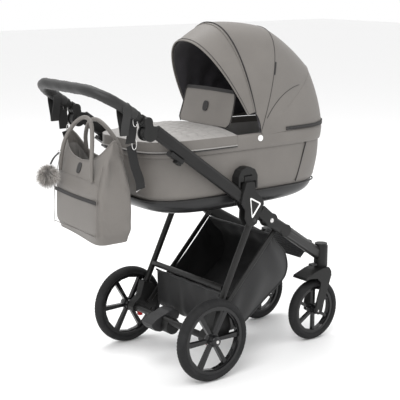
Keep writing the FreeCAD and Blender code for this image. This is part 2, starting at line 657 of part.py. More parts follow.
axle_ends = side + -HOUSING_WIDE / 2
keep(rod("axle_tube_body", along(0), 0, REAR_AXLE_Z, 12, axle_ends * 2), "rear_axle_tube")
boxes = []
axle_pins = []
hub_face = size.rear_track / 2
for label, sign in SIDES:
    y = side * sign
    block_body = prism(f"housing_{label}", [(along(x), z) for x, z in HOUSING], y, HOUSING_WIDE)
    deep = (along(30), y, 180)
    beyond = (along(86), y, 296)
    room = bar(f"housing_{label}_room", deep, beyond, LEG_WIDE + 0.6, LEG_TALL + 0.6)
    pin_long = 86
    pin = rod(f"rear_pin_{label}", along(0), (side + HOUSING_WIDE / 2 + (pin_long / 2 - 30)) * sign,
              REAR_AXLE_Z, size.axle_radius, pin_long)
    release_y = (side + RELEASE_OFF) * sign
    button_room = block(f"release_{label}_room", RELEASE_X, release_y, 124, 15, 19, 20)
    boxes.append(less(f"housing_{label}_body", block_body, room, pin, button_room))
    axle_pins.append(pin)
    keep(block(f"release_{label}", RELEASE_X, release_y, 121, 14, 18, 18), f"wheel_release_{label}")

    wheel_y = hub_face * sign
    rim = wheel_rim(f"rear_rim_{label}_body", size.rear_wheel_radius, 16, 8, 21, 20, bore)
    keep(place(rim, along(0), wheel_y, REAR_AXLE_Z, about_y(30)), f"rear_rim_{label}")
    ring = tyre(f"rear_tyre_{label}_body", size.rear_wheel_radius, size.rear_tyre_wide)
    keep(place(ring, along(0), wheel_y, REAR_AXLE_Z), f"rear_tyre_{label}")
keep(group("housing_pair", *boxes), "suspension_housings")
keep(group("rear_pin_pair", *axle_pins), "rear_axle_pins")

drum = rod("brake_drum", along(10), 0, 130, 30, 40)
drum_bore = rod("brake_drum_bore", along(0), 0, REAR_AXLE_Z, 12, 60)
keep(less("brake_box", drum, drum_bore), "brake_housing")
PEDAL = [(-56, 128), (-58, 138), (-40, 151), (-16, 162), (6, 168), (24, 176), (44, 180), (66, 172),
         (72, 158), (66, 142), (44, 130), (28, 114), (4, 106), (-20, 104), (-42, 112)]
pedal = prism("pedal_wing", [(along(x), z) for x, z in PEDAL], 55, 64)
pedal_bore = rod("pedal_bore", along(0), 55, REAR_AXLE_Z, 12 + number(size.running_gap), 100)
keep(less("pedal", pedal, pedal_bore), "brake_pedal")

# ---------------------------------------------------------------- stays and basket

STAY_Y = 196
STAY_FOOT = (along(52), 168)
stays = []
for label, sign in SIDES:
    y = STAY_Y * sign
    shaft = bar(f"stay_{label}_shaft", (STAY_JOINT[0], y, STAY_JOINT[1]), (*STAY_FOOT[:1], y, STAY_FOOT[1]),
                8, 20)
    top = rod(f"stay_{label}_pin", STAY_JOINT[0], (side + -10) * sign, STAY_JOINT[1], size.pin_radius, 46)
    foot = rod(f"stay_{label}_foot", STAY_FOOT[0], y, STAY_FOOT[1], 10, 9)
    stays.append(join(f"stay_{label}", shaft, top, foot))
keep(group("stay_pair", *stays), "stays")

BASKET = [(339, 462), (148, 258), (104, 290), (93, 290), (95, 190), (112, 140), (209, 152),
          (321, 234), (387, 285), (405, 345)]
INSIDE = [(325, 476), (150, 290), (104, 320), (99, 300), (101, 192), (116, 146), (207, 158),
          (318, 240), (381, 289), (399, 345)]
BASKET_WALL = 5
BASKET_WIDE = 374
outer = prism("basket_outer", [(along(x), z) for x, z in BASKET], 0, BASKET_WIDE)
inner = prism("basket_inner", [(along(x), z) for x, z in INSIDE], 0, BASKET_WIDE - 2 * BASKET_WALL)
keep(less("basket_tub", outer, inner), "basket")

# ---------------------------------------------------------------- carrycot

cot_x = along(232)


def lofted(name, layers, x=0, y=0):
    """A closed body through rounded rectangles, each (height, length, width, corner)."""
    body = new_body(name)
    sketches = []
    for height, length, width, radius in layers:
        sketch = new_sketch(body, "XY_Plane")
        if isinstance(height, Size):
            bind(sketch, "AttachmentOffset.Base.z", height)
        else:
            offset = FreeCAD.Vector(0, 0, height)
            sketch.AttachmentOffset = FreeCAD.Placement(offset, FreeCAD.Rotation())
        add_rounded(sketch, length, width, radius)
        sketches.append(sketch)
    doc.recompute()
    loft = body.newObject("PartDesign::AdditiveLoft", "Loft")
    loft.Profile = sketches[0]
    loft.Sections = sketches[1:]
    loft.Ruled = True
    return place(body, x, y, 0)


wall2 = size.cot_wall * -2
shell = lofted("cot_outer", [(size.cot_floor, size.cot_long + -56, size.cot_wide + -26, 120),
                             (size.rim_top, size.cot_long, size.cot_wide, 130)], cot_x)
hollow = lofted("cot_inner", [(size.cot_floor + 6, size.cot_long + -56 + wall2,
                               size.cot_wide + -26 + wall2, 110),
                              (size.rim_top + 1, size.cot_long + wall2, size.cot_wide + wall2, 120)], cot_x)
keep(less("cot_shell", shell, hollow), "carrycot_shell")
BASE_WALL = 4
base_outer = lofted("cot_base", [(size.cot_bottom, 450, 230, 90), (size.cot_bottom + 22, 660, 310, 130),
                                 (size.cot_floor, size.cot_long + -60, size.cot_wide + -30, 118)], cot_x)
base_inner = lofted("cot_base_inside", [
    (size.cot_bottom + BASE_WALL, 450 - 2 * BASE_WALL, 230 - 2 * BASE_WALL, 86),
    (size.cot_bottom + 22 + BASE_WALL, 660 - 2 * BASE_WALL, 310 - 2 * BASE_WALL, 126),
    (size.cot_floor + 1, size.cot_long + -60 - 2 * BASE_WALL, size.cot_wide + -30 - 2 * BASE_WALL, 114)],
    cot_x)
keep(less("cot_base_tray", base_outer, base_inner), "carrycot_base")
keep(lofted("cot_mattress", [(size.cot_floor + 6, 744, 320, 118), (size.cot_floor + 36, 744, 320, 118)],
            cot_x), "mattress")
apron = lofted("apron_body", [(size.rim_top + 0.5, 372, size.cot_wide + -8, 140),
                              (size.rim_top + 18, 352, size.cot_wide + -34, 130)], along(-6))
keep(apron, "apron")
keep(block("flap", along(186), 0, size.rim_top + 90, 10, 300, 132, about_y(15)), "wind_flap")

brackets = []
knobs = []
for label, sign in SIDES:
    arch = [(146, 664), (146, 712), (158, 734), (180, 744), (200, 744), (222, 734), (234, 712),
            (234, 664)]
    y = (size.cot_wide / 2 + 12) * sign
    cover = prism(f"bracket_{label}_cover", [(along(x), z) for x, z in arch], y, 38)
    post_room = block(f"bracket_{label}_post_room", along(190), (side + -8) * sign, 690, 36, 34, 52)
    hub_room = block(f"bracket_{label}_hub_room", along(190), (side + 2.5) * sign, 666.5, 70, 46, 53)
    tube_ends = [on_tube(t) for t in (TUBE_START, TUBE_END)]
    tube_room = bar(f"bracket_{label}_tube_room", *[(x, side * sign, z) for x, z in tube_ends],
                    size.tube_wide + 1, size.tube_tall + 1)
    tongue_room = block(f"bracket_{label}_tongue_room", along(190), (side + -5) * sign, 700, 30, 10, 66)
    cot_room = lofted(f"bracket_{label}_cot_room", [
        (size.cot_floor, size.cot_long + -56, size.cot_wide + -26, 120),
        (size.rim_top, size.cot_long, size.cot_wide, 130)], cot_x)
    rooms = (post_room, hub_room, tube_room, tongue_room, cot_room)
    brackets.append(less(f"bracket_{label}", cover, *rooms))
    knobs.append(rod(f"knob_{label}", along(268), (size.cot_wide / 2 + 3) * sign, 838, 11, 6))
keep(group("bracket_pair", *brackets), "carrycot_brackets")
keep(group("knob_pair", *knobs), "hood_knobs")


def hood_panel(name, reach, half, start, sweep, near):
    """A bowed hood panel: an elliptical arch swept about the hood pivot, open below and in front."""
    thick = 2.5
    outline = []
    for inset in (0, thick):
        a, b = number(reach) - inset, number(half) - inset
        limit = math.acos(near / a)
        curve = Part.Ellipse(FreeCAD.Vector(0, 0, 0), a, b)
        outline.append(Part.ArcOfEllipse(curve, -limit, limit).toShape())
    outer, inner = outline
    ends = [Part.LineSegment(outer.Vertexes[i].Point, inner.Vertexes[i].Point).toShape() for i in (0, 1)]
    wire = Part.Wire(Part.__sortEdges__([outer, inner, *ends]))
    panel = Part.Face(wire)
    panel.rotate(FreeCAD.Vector(0, 0, 0), FreeCAD.Vector(0, 1, 0), -start)
    solid = panel.revolve(FreeCAD.Vector(0, 0, 0), FreeCAD.Vector(0, 1, 0), -sweep)
    thing = doc.addObject("Part::Feature", name)
    thing.Shape = solid
    return place(thing, along(268), 0, 846)


keep(hood_panel("hood_rear_body", size.hood_reach, size.hood_half, 6, 60, 95), "hood_rear")
hood_middle = hood_panel("hood_middle_body", size.hood_reach + -6, size.hood_half + -6, 64, 38, 26)
keep(hood_middle, "hood_middle")
hood_front = hood_panel("hood_front_body", size.hood_reach + -20, size.hood_half + -14, 99, 20, 26)
keep(hood_front, "hood_front")

# ---------------------------------------------------------------- tote bag

bag_x = along(-316)
bag_low = 538
bag = lofted("bag_outer", [(bag_low, size.bag_wide * 0.42, size.bag_wide, 30),
                           (bag_low + 90, size.bag_deep, size.bag_wide + 8, 34),
                           (size.bag_tall + bag_low, size.bag_deep * 0.72, size.bag_wide + -26, 26)], bag_x)
inside = lofted("bag_inner", [(bag_low + 4, size.bag_wide * 0.42 + -8, size.bag_wide + -8, 28),
                              (bag_low + 90, size.bag_deep + -8, size.bag_wide, 31),
                              (size.bag_tall + bag_low + 1, size.bag_deep * 0.72 + -8,
                               size.bag_wide + -34, 23)], bag_x)
keep(less("bag_tub", bag, inside), "bag_body")

bag_top = size.bag_tall + bag_low
HANDLE_LOOP = 62
loops = []
for label, shift in (("rear", -42), ("front", 42)):
    top = doc.addObject("Part::Torus", f"loop_{label}_top")
    top.Radius1, top.Radius2, top.Angle3 = HANDLE_LOOP, 6, 180
    standing = FreeCAD.Rotation(FreeCAD.Vector(0, 1, 0), FreeCAD.Vector(0, 0, 1),
                                FreeCAD.Vector(1, 0, 0), "ZXY")
    place(top, bag_x + shift, 0, bag_top + 46, standing)
    legs = [rod(f"loop_{label}_leg{k}", bag_x + shift, HANDLE_LOOP * k, bag_top + 23, 6, 46, (0, 0, 1))
            for k in (-1, 1)]
    loops.append(join(f"loop_{label}", top, *legs))
keep(group("loop_pair", *loops), "bag_handles")

HOOK = (along(-305), 980)
HOOK_RADIUS = 31
straps = []
for label, sign in SIDES:
    ring = doc.addObject("Part::Torus", f"hook_{label}")
    ring.Radius1, ring.Radius2 = HOOK_RADIUS, 2.5
    place(ring, HOOK[0], handle_half * sign, HOOK[1], about_y(90))
    strap = bar(f"strap_{label}", (HOOK[0], handle_half * sign, HOOK[1] - HOOK_RADIUS - 1),
                (bag_x, 148 * sign, number(bag_top) + 6), 3, 22)
    straps.append(join(f"bag_strap_{label}", ring, strap))
keep(group("strap_pair", *straps), "bag_straps")

POMPOM = (-424, 115, 742)
ball = doc.addObject("Part::Sphere", "ball")
ball.Radius = 42
place(ball, along(POMPOM[0]), POMPOM[1], POMPOM[2], FreeCAD.Rotation(FreeCAD.Vector(1, 0, 0), 90))
cord = bar("ball_strap", (along(-386), POMPOM[1], number(bag_top) + 4),
           (along(POMPOM[0] + 4), POMPOM[1], POMPOM[2] + 30), 3, 8)
keep(join("pompom_body", ball, cord), "pompom")

# ---------------------------------------------------------------- check and write

doc.recompute()
for thing in doc.Objects:
    if "Invalid" in thing.State or "Error" in thing.State:
        raise RuntimeError(f"{thing.Name} failed: {thing.State}")
for thing in parts:
    if thing.Shape.isNull() or not thing.Shape.isValid():
        raise RuntimeError(f"{thing.Label} has no valid shape")
for thing in parts:
    thing.Shape.exportStep(f"parts/{thing.Label}.step")
print(len(parts), "sub-parts written")
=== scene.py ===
import math
import random

import bpy
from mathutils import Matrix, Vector


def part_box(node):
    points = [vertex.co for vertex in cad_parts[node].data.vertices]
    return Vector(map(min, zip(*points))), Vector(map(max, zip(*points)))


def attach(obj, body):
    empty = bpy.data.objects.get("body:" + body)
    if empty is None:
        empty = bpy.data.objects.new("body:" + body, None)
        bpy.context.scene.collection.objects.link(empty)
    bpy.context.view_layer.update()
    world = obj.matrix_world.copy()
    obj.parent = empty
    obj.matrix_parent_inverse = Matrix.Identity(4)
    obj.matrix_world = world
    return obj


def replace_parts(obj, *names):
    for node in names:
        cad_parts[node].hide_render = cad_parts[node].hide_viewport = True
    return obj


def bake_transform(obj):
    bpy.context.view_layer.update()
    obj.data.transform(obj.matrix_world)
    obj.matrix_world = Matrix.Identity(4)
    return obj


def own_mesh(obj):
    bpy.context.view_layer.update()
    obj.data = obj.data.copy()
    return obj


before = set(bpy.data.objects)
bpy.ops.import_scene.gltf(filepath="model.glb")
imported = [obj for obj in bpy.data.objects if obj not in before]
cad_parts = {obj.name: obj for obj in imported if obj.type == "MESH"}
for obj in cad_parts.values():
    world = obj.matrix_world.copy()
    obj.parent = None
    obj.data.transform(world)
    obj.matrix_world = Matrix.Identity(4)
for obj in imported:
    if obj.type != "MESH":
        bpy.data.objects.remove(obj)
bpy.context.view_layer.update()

bl_info = {
    "name": "Pram",
    "version": (1, 0),
    "blender": (4, 5, 0),
    "location": "3D View > Sidebar > Pram",
    "description": "Covers, wheels and finishes of a pram, built around its chassis",
    "category": "Object",
}

# Places are given from the rear axle: X forwards, Y to the left side, Z above the ground, in metres.
AXLE_LOW, AXLE_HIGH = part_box("rear_axle_tube")
AXLE_X = (AXLE_LOW[0] + AXLE_HIGH[0]) / 2
SHELL_LOW, SHELL_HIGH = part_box("carrycot_shell")
RIM_TOP = SHELL_HIGH[2]
COT_X = (SHELL_LOW[0] + SHELL_HIGH[0]) / 2
COT_HALF_LONG = (SHELL_HIGH[0] - SHELL_LOW[0]) / 2
COT_HALF_WIDE = (SHELL_HIGH[1] - SHELL_LOW[1]) / 2
COT_FLOOR = SHELL_LOW[2]
COT_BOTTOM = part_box("carrycot_base")[0][2]
HOOD_PIVOT = Vector((AXLE_X + 0.268, 0, 0.846))
SIDES = (("left", 1), ("right", -1))


def at(x, y, z):
    """A point given from the rear axle."""
    return Vector((AXLE_X + x, y, z))


def mix(a, b, t):
    return a + (b - a) * t


def clamp(value, low=0.0, high=1.0):
    return min(max(value, low), high)


def smooth(t):
    t = clamp(t)
    return t * t * (3 - 2 * t)


def power(value, exponent):
    return math.copysign(abs(value) ** exponent, value)


# ------------------------------------------------------------------------------ sizes and colours


class PramSizes(bpy.types.PropertyGroup):
    """Sizes of the soft pieces and the trim."""
    cloth: bpy.props.FloatProperty(name="Cloth", description="Thickness of the covers", default=0.0024,
                                   subtype="DISTANCE", unit="LENGTH")
    piping: bpy.props.FloatProperty(name="Piping", description="Radius of the sewn piping",
                                    default=0.0021, subtype="DISTANCE", unit="LENGTH")
    seam: bpy.props.FloatProperty(name="Seam", description="Radius of a raised seam", default=0.0009,
                                  subtype="DISTANCE", unit="LENGTH")
    hood_reach: bpy.props.FloatProperty(name="Hood reach", description="Hood pivot to the top of the hood",
                                        default=0.405, subtype="DISTANCE", unit="LENGTH")
    rim_band: bpy.props.FloatProperty(name="Rim band", description="Height of the band round the carrycot",
                                      default=0.054, subtype="DISTANCE", unit="LENGTH")
    quilt: bpy.props.FloatProperty(name="Quilting", description="Distance between quilting lines",
                                   default=0.034, subtype="DISTANCE", unit="LENGTH")
    grip: bpy.props.FloatProperty(name="Grip", description="Radius of the covered handle",
                                  default=0.0185, subtype="DISTANCE", unit="LENGTH")
    fur: bpy.props.IntProperty(name="Fur", description="Number of hairs on the pompom", default=2600,
                               min=200, max=6000)


class PramColours(bpy.types.PropertyGroup):
    """Colours of the finishes."""
    leather: bpy.props.FloatVectorProperty(name="Leather", description="Imitation leather of the covers",
                                           default=(0.150, 0.139, 0.128), subtype="COLOR")
    quilted: bpy.props.FloatVectorProperty(name="Quilted cover", description="Quilted top of the apron",
                                           default=(0.235, 0.224, 0.214), subtype="COLOR")
    lining: bpy.props.FloatVectorProperty(name="Lining", description="Inside of the hood",
                                          default=(0.055, 0.052, 0.058), subtype="COLOR")
    chassis: bpy.props.FloatVectorProperty(name="Chassis", description="Powder coat of the tubes",
                                           default=(0.010, 0.0098, 0.0096), subtype="COLOR")
    plastic: bpy.props.FloatVectorProperty(name="Plastic", description="Moulded black plastic",
                                           default=(0.011, 0.011, 0.0108), subtype="COLOR")
    grip: bpy.props.FloatVectorProperty(name="Grip", description="Leather of the handle",
                                        default=(0.018, 0.018, 0.0178), subtype="COLOR")
    basket: bpy.props.FloatVectorProperty(name="Basket", description="Coated cloth of the basket",
                                          default=(0.013, 0.013, 0.0135), subtype="COLOR")
    tyre: bpy.props.FloatVectorProperty(name="Tyre", description="Foamed rubber of the tyres",
                                        default=(0.013, 0.013, 0.0135), subtype="COLOR")


# ------------------------------------------------------------------------------ shader maths


class Wire:
    """A node's output that can be used in sums."""

    def __init__(self, look, socket):
        self.look = look
        self.socket = socket

    def maths(self, operation, first, second=0.0):
        return self.look.node("ShaderNodeMath", {"operation": operation}, {0: first, 1: second})

    def __add__(self, other):
        return self.maths("ADD", self, other)

    def __sub__(self, other):
        return self.maths("SUBTRACT", self, other)

    def __rsub__(self, other):
        return self.maths("SUBTRACT", other, self)

    def __mul__(self, other):
        return self.maths("MULTIPLY", self, other)

    def __gt__(self, other):
        return self.maths("GREATER_THAN", self, other)

    def __lt__(self, other):
        return self.maths("LESS_THAN", self, other)

    def __pow__(self, other):
        return self.maths("POWER", self, other)

    __radd__ = __add__
    __rmul__ = __mul__

    def sine(self):
        return self.maths("SINE", self)

    def absolute(self):
        return self.maths("ABSOLUTE", self)


class Look:
    """A material that is being put together."""

    def __init__(self, name, colour, roughness, **constants):
        self.material = bpy.data.materials.new(name)
        self.material.use_nodes = True
        self.material.diffuse_color = (*colour, 1)
        self.tree = self.material.node_tree
        self.shader = self.tree.nodes["Principled BSDF"]
        self.shader.inputs["Roughness"].default_value = roughness
        self.shader.inputs["Base Color"].default_value = (*colour, 1)
        for socket, value in constants.items():
            self.shader.inputs[socket.replace("_", " ")].default_value = value

    def node(self, kind, settings=None, values=None, output=0):
        """Add a node: its settings first, then the values or links of its sockets."""
        node = self.tree.nodes.new(kind)
        for key, value in (settings or {}).items():
            if key == "stops":
                self.stops(node.color_ramp, value)
            else:
                setattr(node, key, value)
        for key, value in (values or {}).items():
            self.feed(node.inputs[key], value)
        return Wire(self, node.outputs[output])

    def stops(self, ramp, stops):
        while len(ramp.elements) < len(stops):
            ramp.elements.new(0.5)
        for element, (place, value) in zip(ramp.elements, stops):
            element.position = place
            element.color = (value, value, value, 1)

    def feed(self, socket, value):
        if isinstance(value, Wire):
            self.tree.links.new(value.socket, socket)
        else:
            socket.default_value = value

    def place(self, source="Object", scale=(1, 1, 1)):
        coordinates = self.node("ShaderNodeTexCoord", output=source)
        return self.node("ShaderNodeMapping", values={"Vector": coordinates, "Scale": scale})

    def noise(self, vector, scale, detail=3.0, roughness=0.5):
        return self.node("ShaderNodeTexNoise", values={"Vector": vector, "Scale": scale,
                                                       "Detail": detail, "Roughness": roughness})

    def cells(self, vector, scale, feature="F1"):
        return self.node("ShaderNodeTexVoronoi", {"feature": feature},
                         {"Vector": vector, "Scale": scale})

    def part(self, vector, letter):
        return self.node("ShaderNodeSeparateXYZ", values={0: vector}, output=letter)

    def ramp(self, value, *stops):
        return self.node("ShaderNodeValToRGB", {"stops": stops}, {0: value})

    def blend(self, factor, a, b):
        return self.node("ShaderNodeMix", {"data_type": "RGBA"}, {0: factor, 6: a, 7: b}, output=2)

    def bump(self, height, strength, distance, under=None):
        values = {"Height": height, "Strength": strength, "Distance": distance}
        if under:
            values["Normal"] = under
        return self.node("ShaderNodeBump", values=values)

    def finish(self, **links):
        for socket, wire in links.items():
            self.feed(self.shader.inputs[socket.replace("_", " ")], wire)
        return self.material


def shade(colour, factor):
    return (*(clamp(c * factor) for c in colour), 1)


def leather_finish(name, colour, roughness=0.52, grain=0.30, cell=620.0):
    """Soft imitation leather: fine pebbled grain, faint colour clouding and worn sheen."""
    look = Look(name, colour, roughness, Specular_IOR_Level=0.3, Sheen_Weight=0.06)
    where = look.place()
    pebbles = look.cells(where, cell, "SMOOTH_F1")
    creases = look.cells(where, cell * 0.42, "DISTANCE_TO_EDGE")
    clouds = look.noise(where, 9.0, 4.0)
    fine = look.noise(where, cell * 1.6, 2.0)
    colour_mix = look.blend(look.ramp(clouds, (0.3, 0.0), (0.7, 1.0)), shade(colour, 0.93),
                            shade(colour, 1.06))
    pores = look.ramp(creases, (0.0, 1.0), (0.06, 0.0))
    tone = look.blend(pores * 0.35, colour_mix, shade(colour, 0.62))
    height = pebbles * 0.7 + fine * 0.3 - pores * 0.25
    rough = clouds * 0.14 + (roughness - 0.07)
    return look.finish(Base_Color=tone, Roughness=rough,
                       Normal=look.bump(height, grain, 0.0007))


def quilted_finish(name, colour, step):
    """Quilted cover: soft leather with sewn channels following the piece's own grid, with painted shade in
    the channels and lighter puffs between them.
    """
    look = Look(name, colour, 0.56, Specular_IOR_Level=0.4, Sheen_Weight=0.15)
    where = look.place()
    grain = look.cells(where, 620.0, "SMOOTH_F1")
    clouds = look.noise(where, 7.0, 4.0)
    across = look.part(where, "Y")
    along = look.part(where, "X")
    wander = look.noise(where, 6.0, 2.0) * 0.02
    waves = ((across + wander) * (math.pi / step)).sine().absolute()
    cross_waves = ((along + wander) * (math.pi / (step * 1.4))).sine().absolute()
    channels = look.ramp(waves, (0.0, 0.0), (0.35, 1.0))
    cross_channels = look.ramp(cross_waves, (0.0, 0.0), (0.3, 1.0))
    puff = channels * cross_channels
    # Painted shade: the colour is darkened in the sewn channels and lightened on the puffs, as light falls on
    # the quilting.
    tone = look.blend(puff, shade(colour, 0.86), shade(colour, 1.03))
    tone = look.blend(look.ramp(clouds, (0.35, 0.0), (0.7, 0.25)), tone, shade(colour, 0.85))
    fold = look.bump(puff, 0.4, 0.003)
    return look.finish(Base_Color=tone, Normal=look.bump(grain, 0.25, 0.0006, fold))


def coat_finish(name, colour, roughness=0.36):
    """Satin powder coat with a fine orange peel and lighter, rougher smudges."""
    look = Look(name, colour, roughness, Metallic=0.0, Specular_IOR_Level=0.22, Coat_Weight=0.06,
                Coat_Roughness=0.25)
    where = look.place()
    peel = look.noise(where, 900.0, 2.0)
    smudge = look.noise(where, 22.0, 5.0)
    specks = look.cells(where, 1500.0)
    tone = look.blend(look.ramp(smudge, (0.4, 0.0), (0.75, 0.6)), shade(colour, 1.0), shade(colour, 1.5))
    rough = smudge * 0.16 + (roughness - 0.07)
    return look.finish(Base_Color=tone, Roughness=rough,
                       Normal=look.bump(peel * 0.6 + specks * 0.4, 0.12, 0.0004))


def plastic_finish(name, colour, roughness=0.46, grain=0.22, cell=1100.0, coat=0.0):
    """Moulded plastic with a fine spark-eroded grain."""
    look = Look(name, colour, roughness, Specular_IOR_Level=0.24, Coat_Weight=coat, Coat_Roughness=0.12)
    where = look.place()
    grit = look.noise(where, cell, 3.0, 0.6)
    smudge = look.noise(where, 16.0, 4.0)
    tone = look.blend(look.ramp(smudge, (0.35, 0.0), (0.75, 1.0)), shade(colour, 0.88),
                      shade(colour, 1.22))
    rough = smudge * 0.14 + (roughness - 0.06)
    return look.finish(Base_Color=tone, Roughness=rough, Normal=look.bump(grit, grain, 0.0004))


def cloth_finish(name, colour, thread=0.0009, roughness=0.8, strength=0.35, sheen=0.25, clouding=0.2):
    """Plain weave that follows the piece's own UV-free object grid, with soft clouding."""
    look = Look(name, colour, roughness, Specular_IOR_Level=0.3, Sheen_Weight=sheen,
                Sheen_Roughness=0.4)
    where = look.place()
    turn = math.pi / thread
    warp = ((look.part(where, "X") + look.part(where, "Z")) * turn).sine()
    weft = ((look.part(where, "Y") + look.part(where, "Z")) * turn).sine()
    weave = (warp * weft) * 0.5 + 0.5
    clouds = look.noise(where, 14.0, 4.0)
    fuzz = look.noise(where, 700.0, 2.0)
    tone = look.blend(look.ramp(clouds, (0.3, 0.0), (0.7, 1.0)), shade(colour, 1 - clouding),
                      shade(colour, 1 + clouding))
    tone = look.blend(weave * 0.4, tone, shade(colour, 0.7))
    return look.finish(Base_Color=tone, Normal=look.bump(weave * 0.8 + fuzz * 0.4, strength, 0.0004))


def rubber_finish(name, colour):
    """Foamed tyre rubber: matt skin with fine pits and patches of dust."""
    look = Look(name, colour, 0.72, Specular_IOR_Level=0.2)
    where = look.place()
    pits = look.cells(where, 900.0)
    dust = look.noise(where, 30.0, 5.0)
    tone = look.blend(look.ramp(dust, (0.45, 0.0), (0.8, 0.7)), shade(colour, 0.95), shade(colour, 2.0))
    rough = dust * 0.2 + 0.6
    return look.finish(Base_Color=tone, Roughness=rough, Normal=look.bump(pits, 0.2, 0.0004))


def steel_finish(name, colour, roughness=0.25):
    """Plated steel with fine drawing lines."""
    look = Look(name, colour, roughness, Metallic=1.0)
    where = look.place(scale=(1, 1, 14))
    lines = look.noise(where, 260.0, 3.0)
    rough = lines * 0.18 + (roughness - 0.08)
    return look.finish(Roughness=rough, Normal=look.bump(lines, 0.06, 0.0002))


def zip_finish(name, colour):
    """Zip: cloth tape with a row of teeth that follows the strip's own length."""
    look = Look(name, colour, 0.62, Specular_IOR_Level=0.4)
    strip = look.place("UV")
    length = look.part(strip, "X")
    width = look.part(strip, "Y")
    teeth = (length * (math.pi * 160)).sine() > 0.0
    middle = (width - 0.5).absolute() < 0.16
    height = teeth * middle
    tone = look.blend(height, shade(colour, 1.0), shade(colour, 2.4))
    return look.finish(Base_Color=tone, Normal=look.bump(height, 0.6, 0.0008))


def fur_finish(name):
    """Long fur: pale tips over dark roots, streaked by the hair's own height map."""
    look = Look(name, (0.3, 0.28, 0.26), 0.62, Sheen_Weight=0.3, Specular_IOR_Level=0.3)
    strand = look.place("UV")
    height = look.part(strand, "Y")
    lot = look.part(strand, "X")
    tone = look.blend(look.ramp(height, (0.05, 0.0), (0.75, 1.0)), (0.05, 0.045, 0.042, 1),
                      (0.50, 0.47, 0.44, 1))
    tone = look.blend(look.ramp(lot, (0.62, 0.0), (0.7, 1.0)), tone, (0.06, 0.055, 0.05, 1))
    return look.finish(Base_Color=tone)


# ------------------------------------------------------------------------------ modelling helpers


def nothing_selected():
    """Leave edit mode and deselect everything."""
    if bpy.context.object and bpy.context.object.mode != "OBJECT":
        bpy.ops.object.mode_set(mode="OBJECT")
    bpy.ops.object.select_all(action="DESELECT")


def only(piece):
    """Select one piece and make it active."""
    nothing_selected()
    piece.select_set(True)
    bpy.context.view_layer.objects.active = piece
    return piece


def apply(piece, kind, **settings):
    """Add a modifier and apply it at once."""
    only(piece)
    modifier = piece.modifiers.new(kind.title(), kind)
    for key, value in settings.items():
        setattr(modifier, key, value)
    bpy.ops.object.modifier_apply(modifier=modifier.name)
    return piece


def subdivided(piece, levels):
    """Round a piece with a subdivision surface."""
    return apply(piece, "SUBSURF", levels=levels, render_levels=levels)


def walled(piece, thickness, offset=-1.0):
    """Give a sheet its thickness."""
    return apply(piece, "SOLIDIFY", thickness=thickness, offset=offset, use_even_offset=True,
                 thickness_clamp=1.2)


def facing(piece, inside_point):
    """Turn an open sheet's faces away from a point inside it."""
    mesh = piece.data
    total = sum((face.center - inside_point).dot(face.normal) * face.area for face in mesh.polygons)
    if total < 0:
        only(piece)
        bpy.ops.object.mode_set(mode="EDIT")
        bpy.ops.mesh.select_all(action="SELECT")
        bpy.ops.mesh.flip_normals()
        bpy.ops.object.mode_set(mode="OBJECT")
    return piece


def closed_up(piece, gap=0.00002):
    """Merge doubles and point the faces of a closed shell outwards."""
    only(piece)
    bpy.ops.object.mode_set(mode="EDIT")
    bpy.ops.mesh.select_all(action="SELECT")
    bpy.ops.mesh.remove_doubles(threshold=gap)
    bpy.ops.mesh.normals_make_consistent(inside=False)
    bpy.ops.object.mode_set(mode="OBJECT")
    return piece


def soft_shade(piece, angle=35):
    """Shade smooth below an angle between faces."""
    only(piece)
    bpy.ops.object.shade_smooth_by_angle(angle=math.radians(angle))
    return piece


def surface(name, columns, rows, corner, inside=None, closed=False):
    """A grid whose every corner is moved to corner(u, v)."""
    nothing_selected()
    bpy.ops.mesh.primitive_grid_add(x_subdivisions=columns, y_subdivisions=rows, size=2)
    piece = bpy.context.object
    piece.name = name
    piece.data.name = name
    for vertex in piece.data.vertices:
        u, v = (vertex.co.x + 1) / 2, (vertex.co.y + 1) / 2
        vertex.co = corner(u, v)
    piece.data.update()
    if closed:
        closed_up(piece)
    if inside is not None:
        facing(piece, inside)
    return piece


def curve_points(points, steps):
    """A smooth line through given points, with steps spans between neighbours."""
    line = []
    count = len(points)
    for i in range(count - 1):
        before, start = points[max(i - 1, 0)], points[i]
        end, after = points[i + 1], points[min(i + 2, count - 1)]
        for k in range(steps):
            t = k / steps
            way_in, way_out = (end - before) * 0.5, (after - start) * 0.5
            h1, h2 = 2 * t ** 3 - 3 * t ** 2 + 1, -2 * t ** 3 + 3 * t ** 2
            line.append(start * h1 + end * h2 + way_in * (t ** 3 - 2 * t ** 2 + t)
                        + way_out * (t ** 3 - t ** 2))
    line.append(points[-1])
    return line


def frames_along(line, up=Vector((0, 0, 1)), loop=False):
    """Side and top directions at each point of a line, carried along without twist."""
    frames = []
    count = len(line)
    top = None
    for i in range(count):
        ahead = line[(i + 1) % count if loop else min(i + 1, count - 1)]
        behind = line[i - 1 if loop else max(i - 1, 0)]
        way = (ahead - behind).normalized()
        if top is None:
            top = up - way * up.dot(way)
            if top.length < 0.001:
                top = Vector((1, 0, 0)) - way * way.x
        else:
            top = top - way * top.dot(way)
        top.normalize()
        frames.append((way.cross(top).normalized(), top.copy()))
    return frames


def tube(name, line, radius, sides=12, loop=False, up=Vector((0, 0, 1)), flat=1.0, taper=None):
    """A round or flattened tube along a line, with closed ends or as a ring."""
    frames = frames_along(line, up, loop)
    count = len(line)
    rows = count if loop else count + 1

    def corner(u, v):
        turn = 2 * math.pi * u
        k = round(v * rows)
        if loop:
            here, size = k % count, radius
        else:
            here = clamp(k - 1, 0, count - 1)
            size = 0.0 if k in (0, rows) else radius
        here = int(here)
        if taper:
            size *= taper(here / max(count - 1, 1))
        side, top = frames[here]
        return line[here] + side * (math.cos(turn) * size) + top * (math.sin(turn) * size * flat)

    piece = surface(name, sides, rows, corner)
    return soft_shade(closed_up(piece, 0.000004), 50)


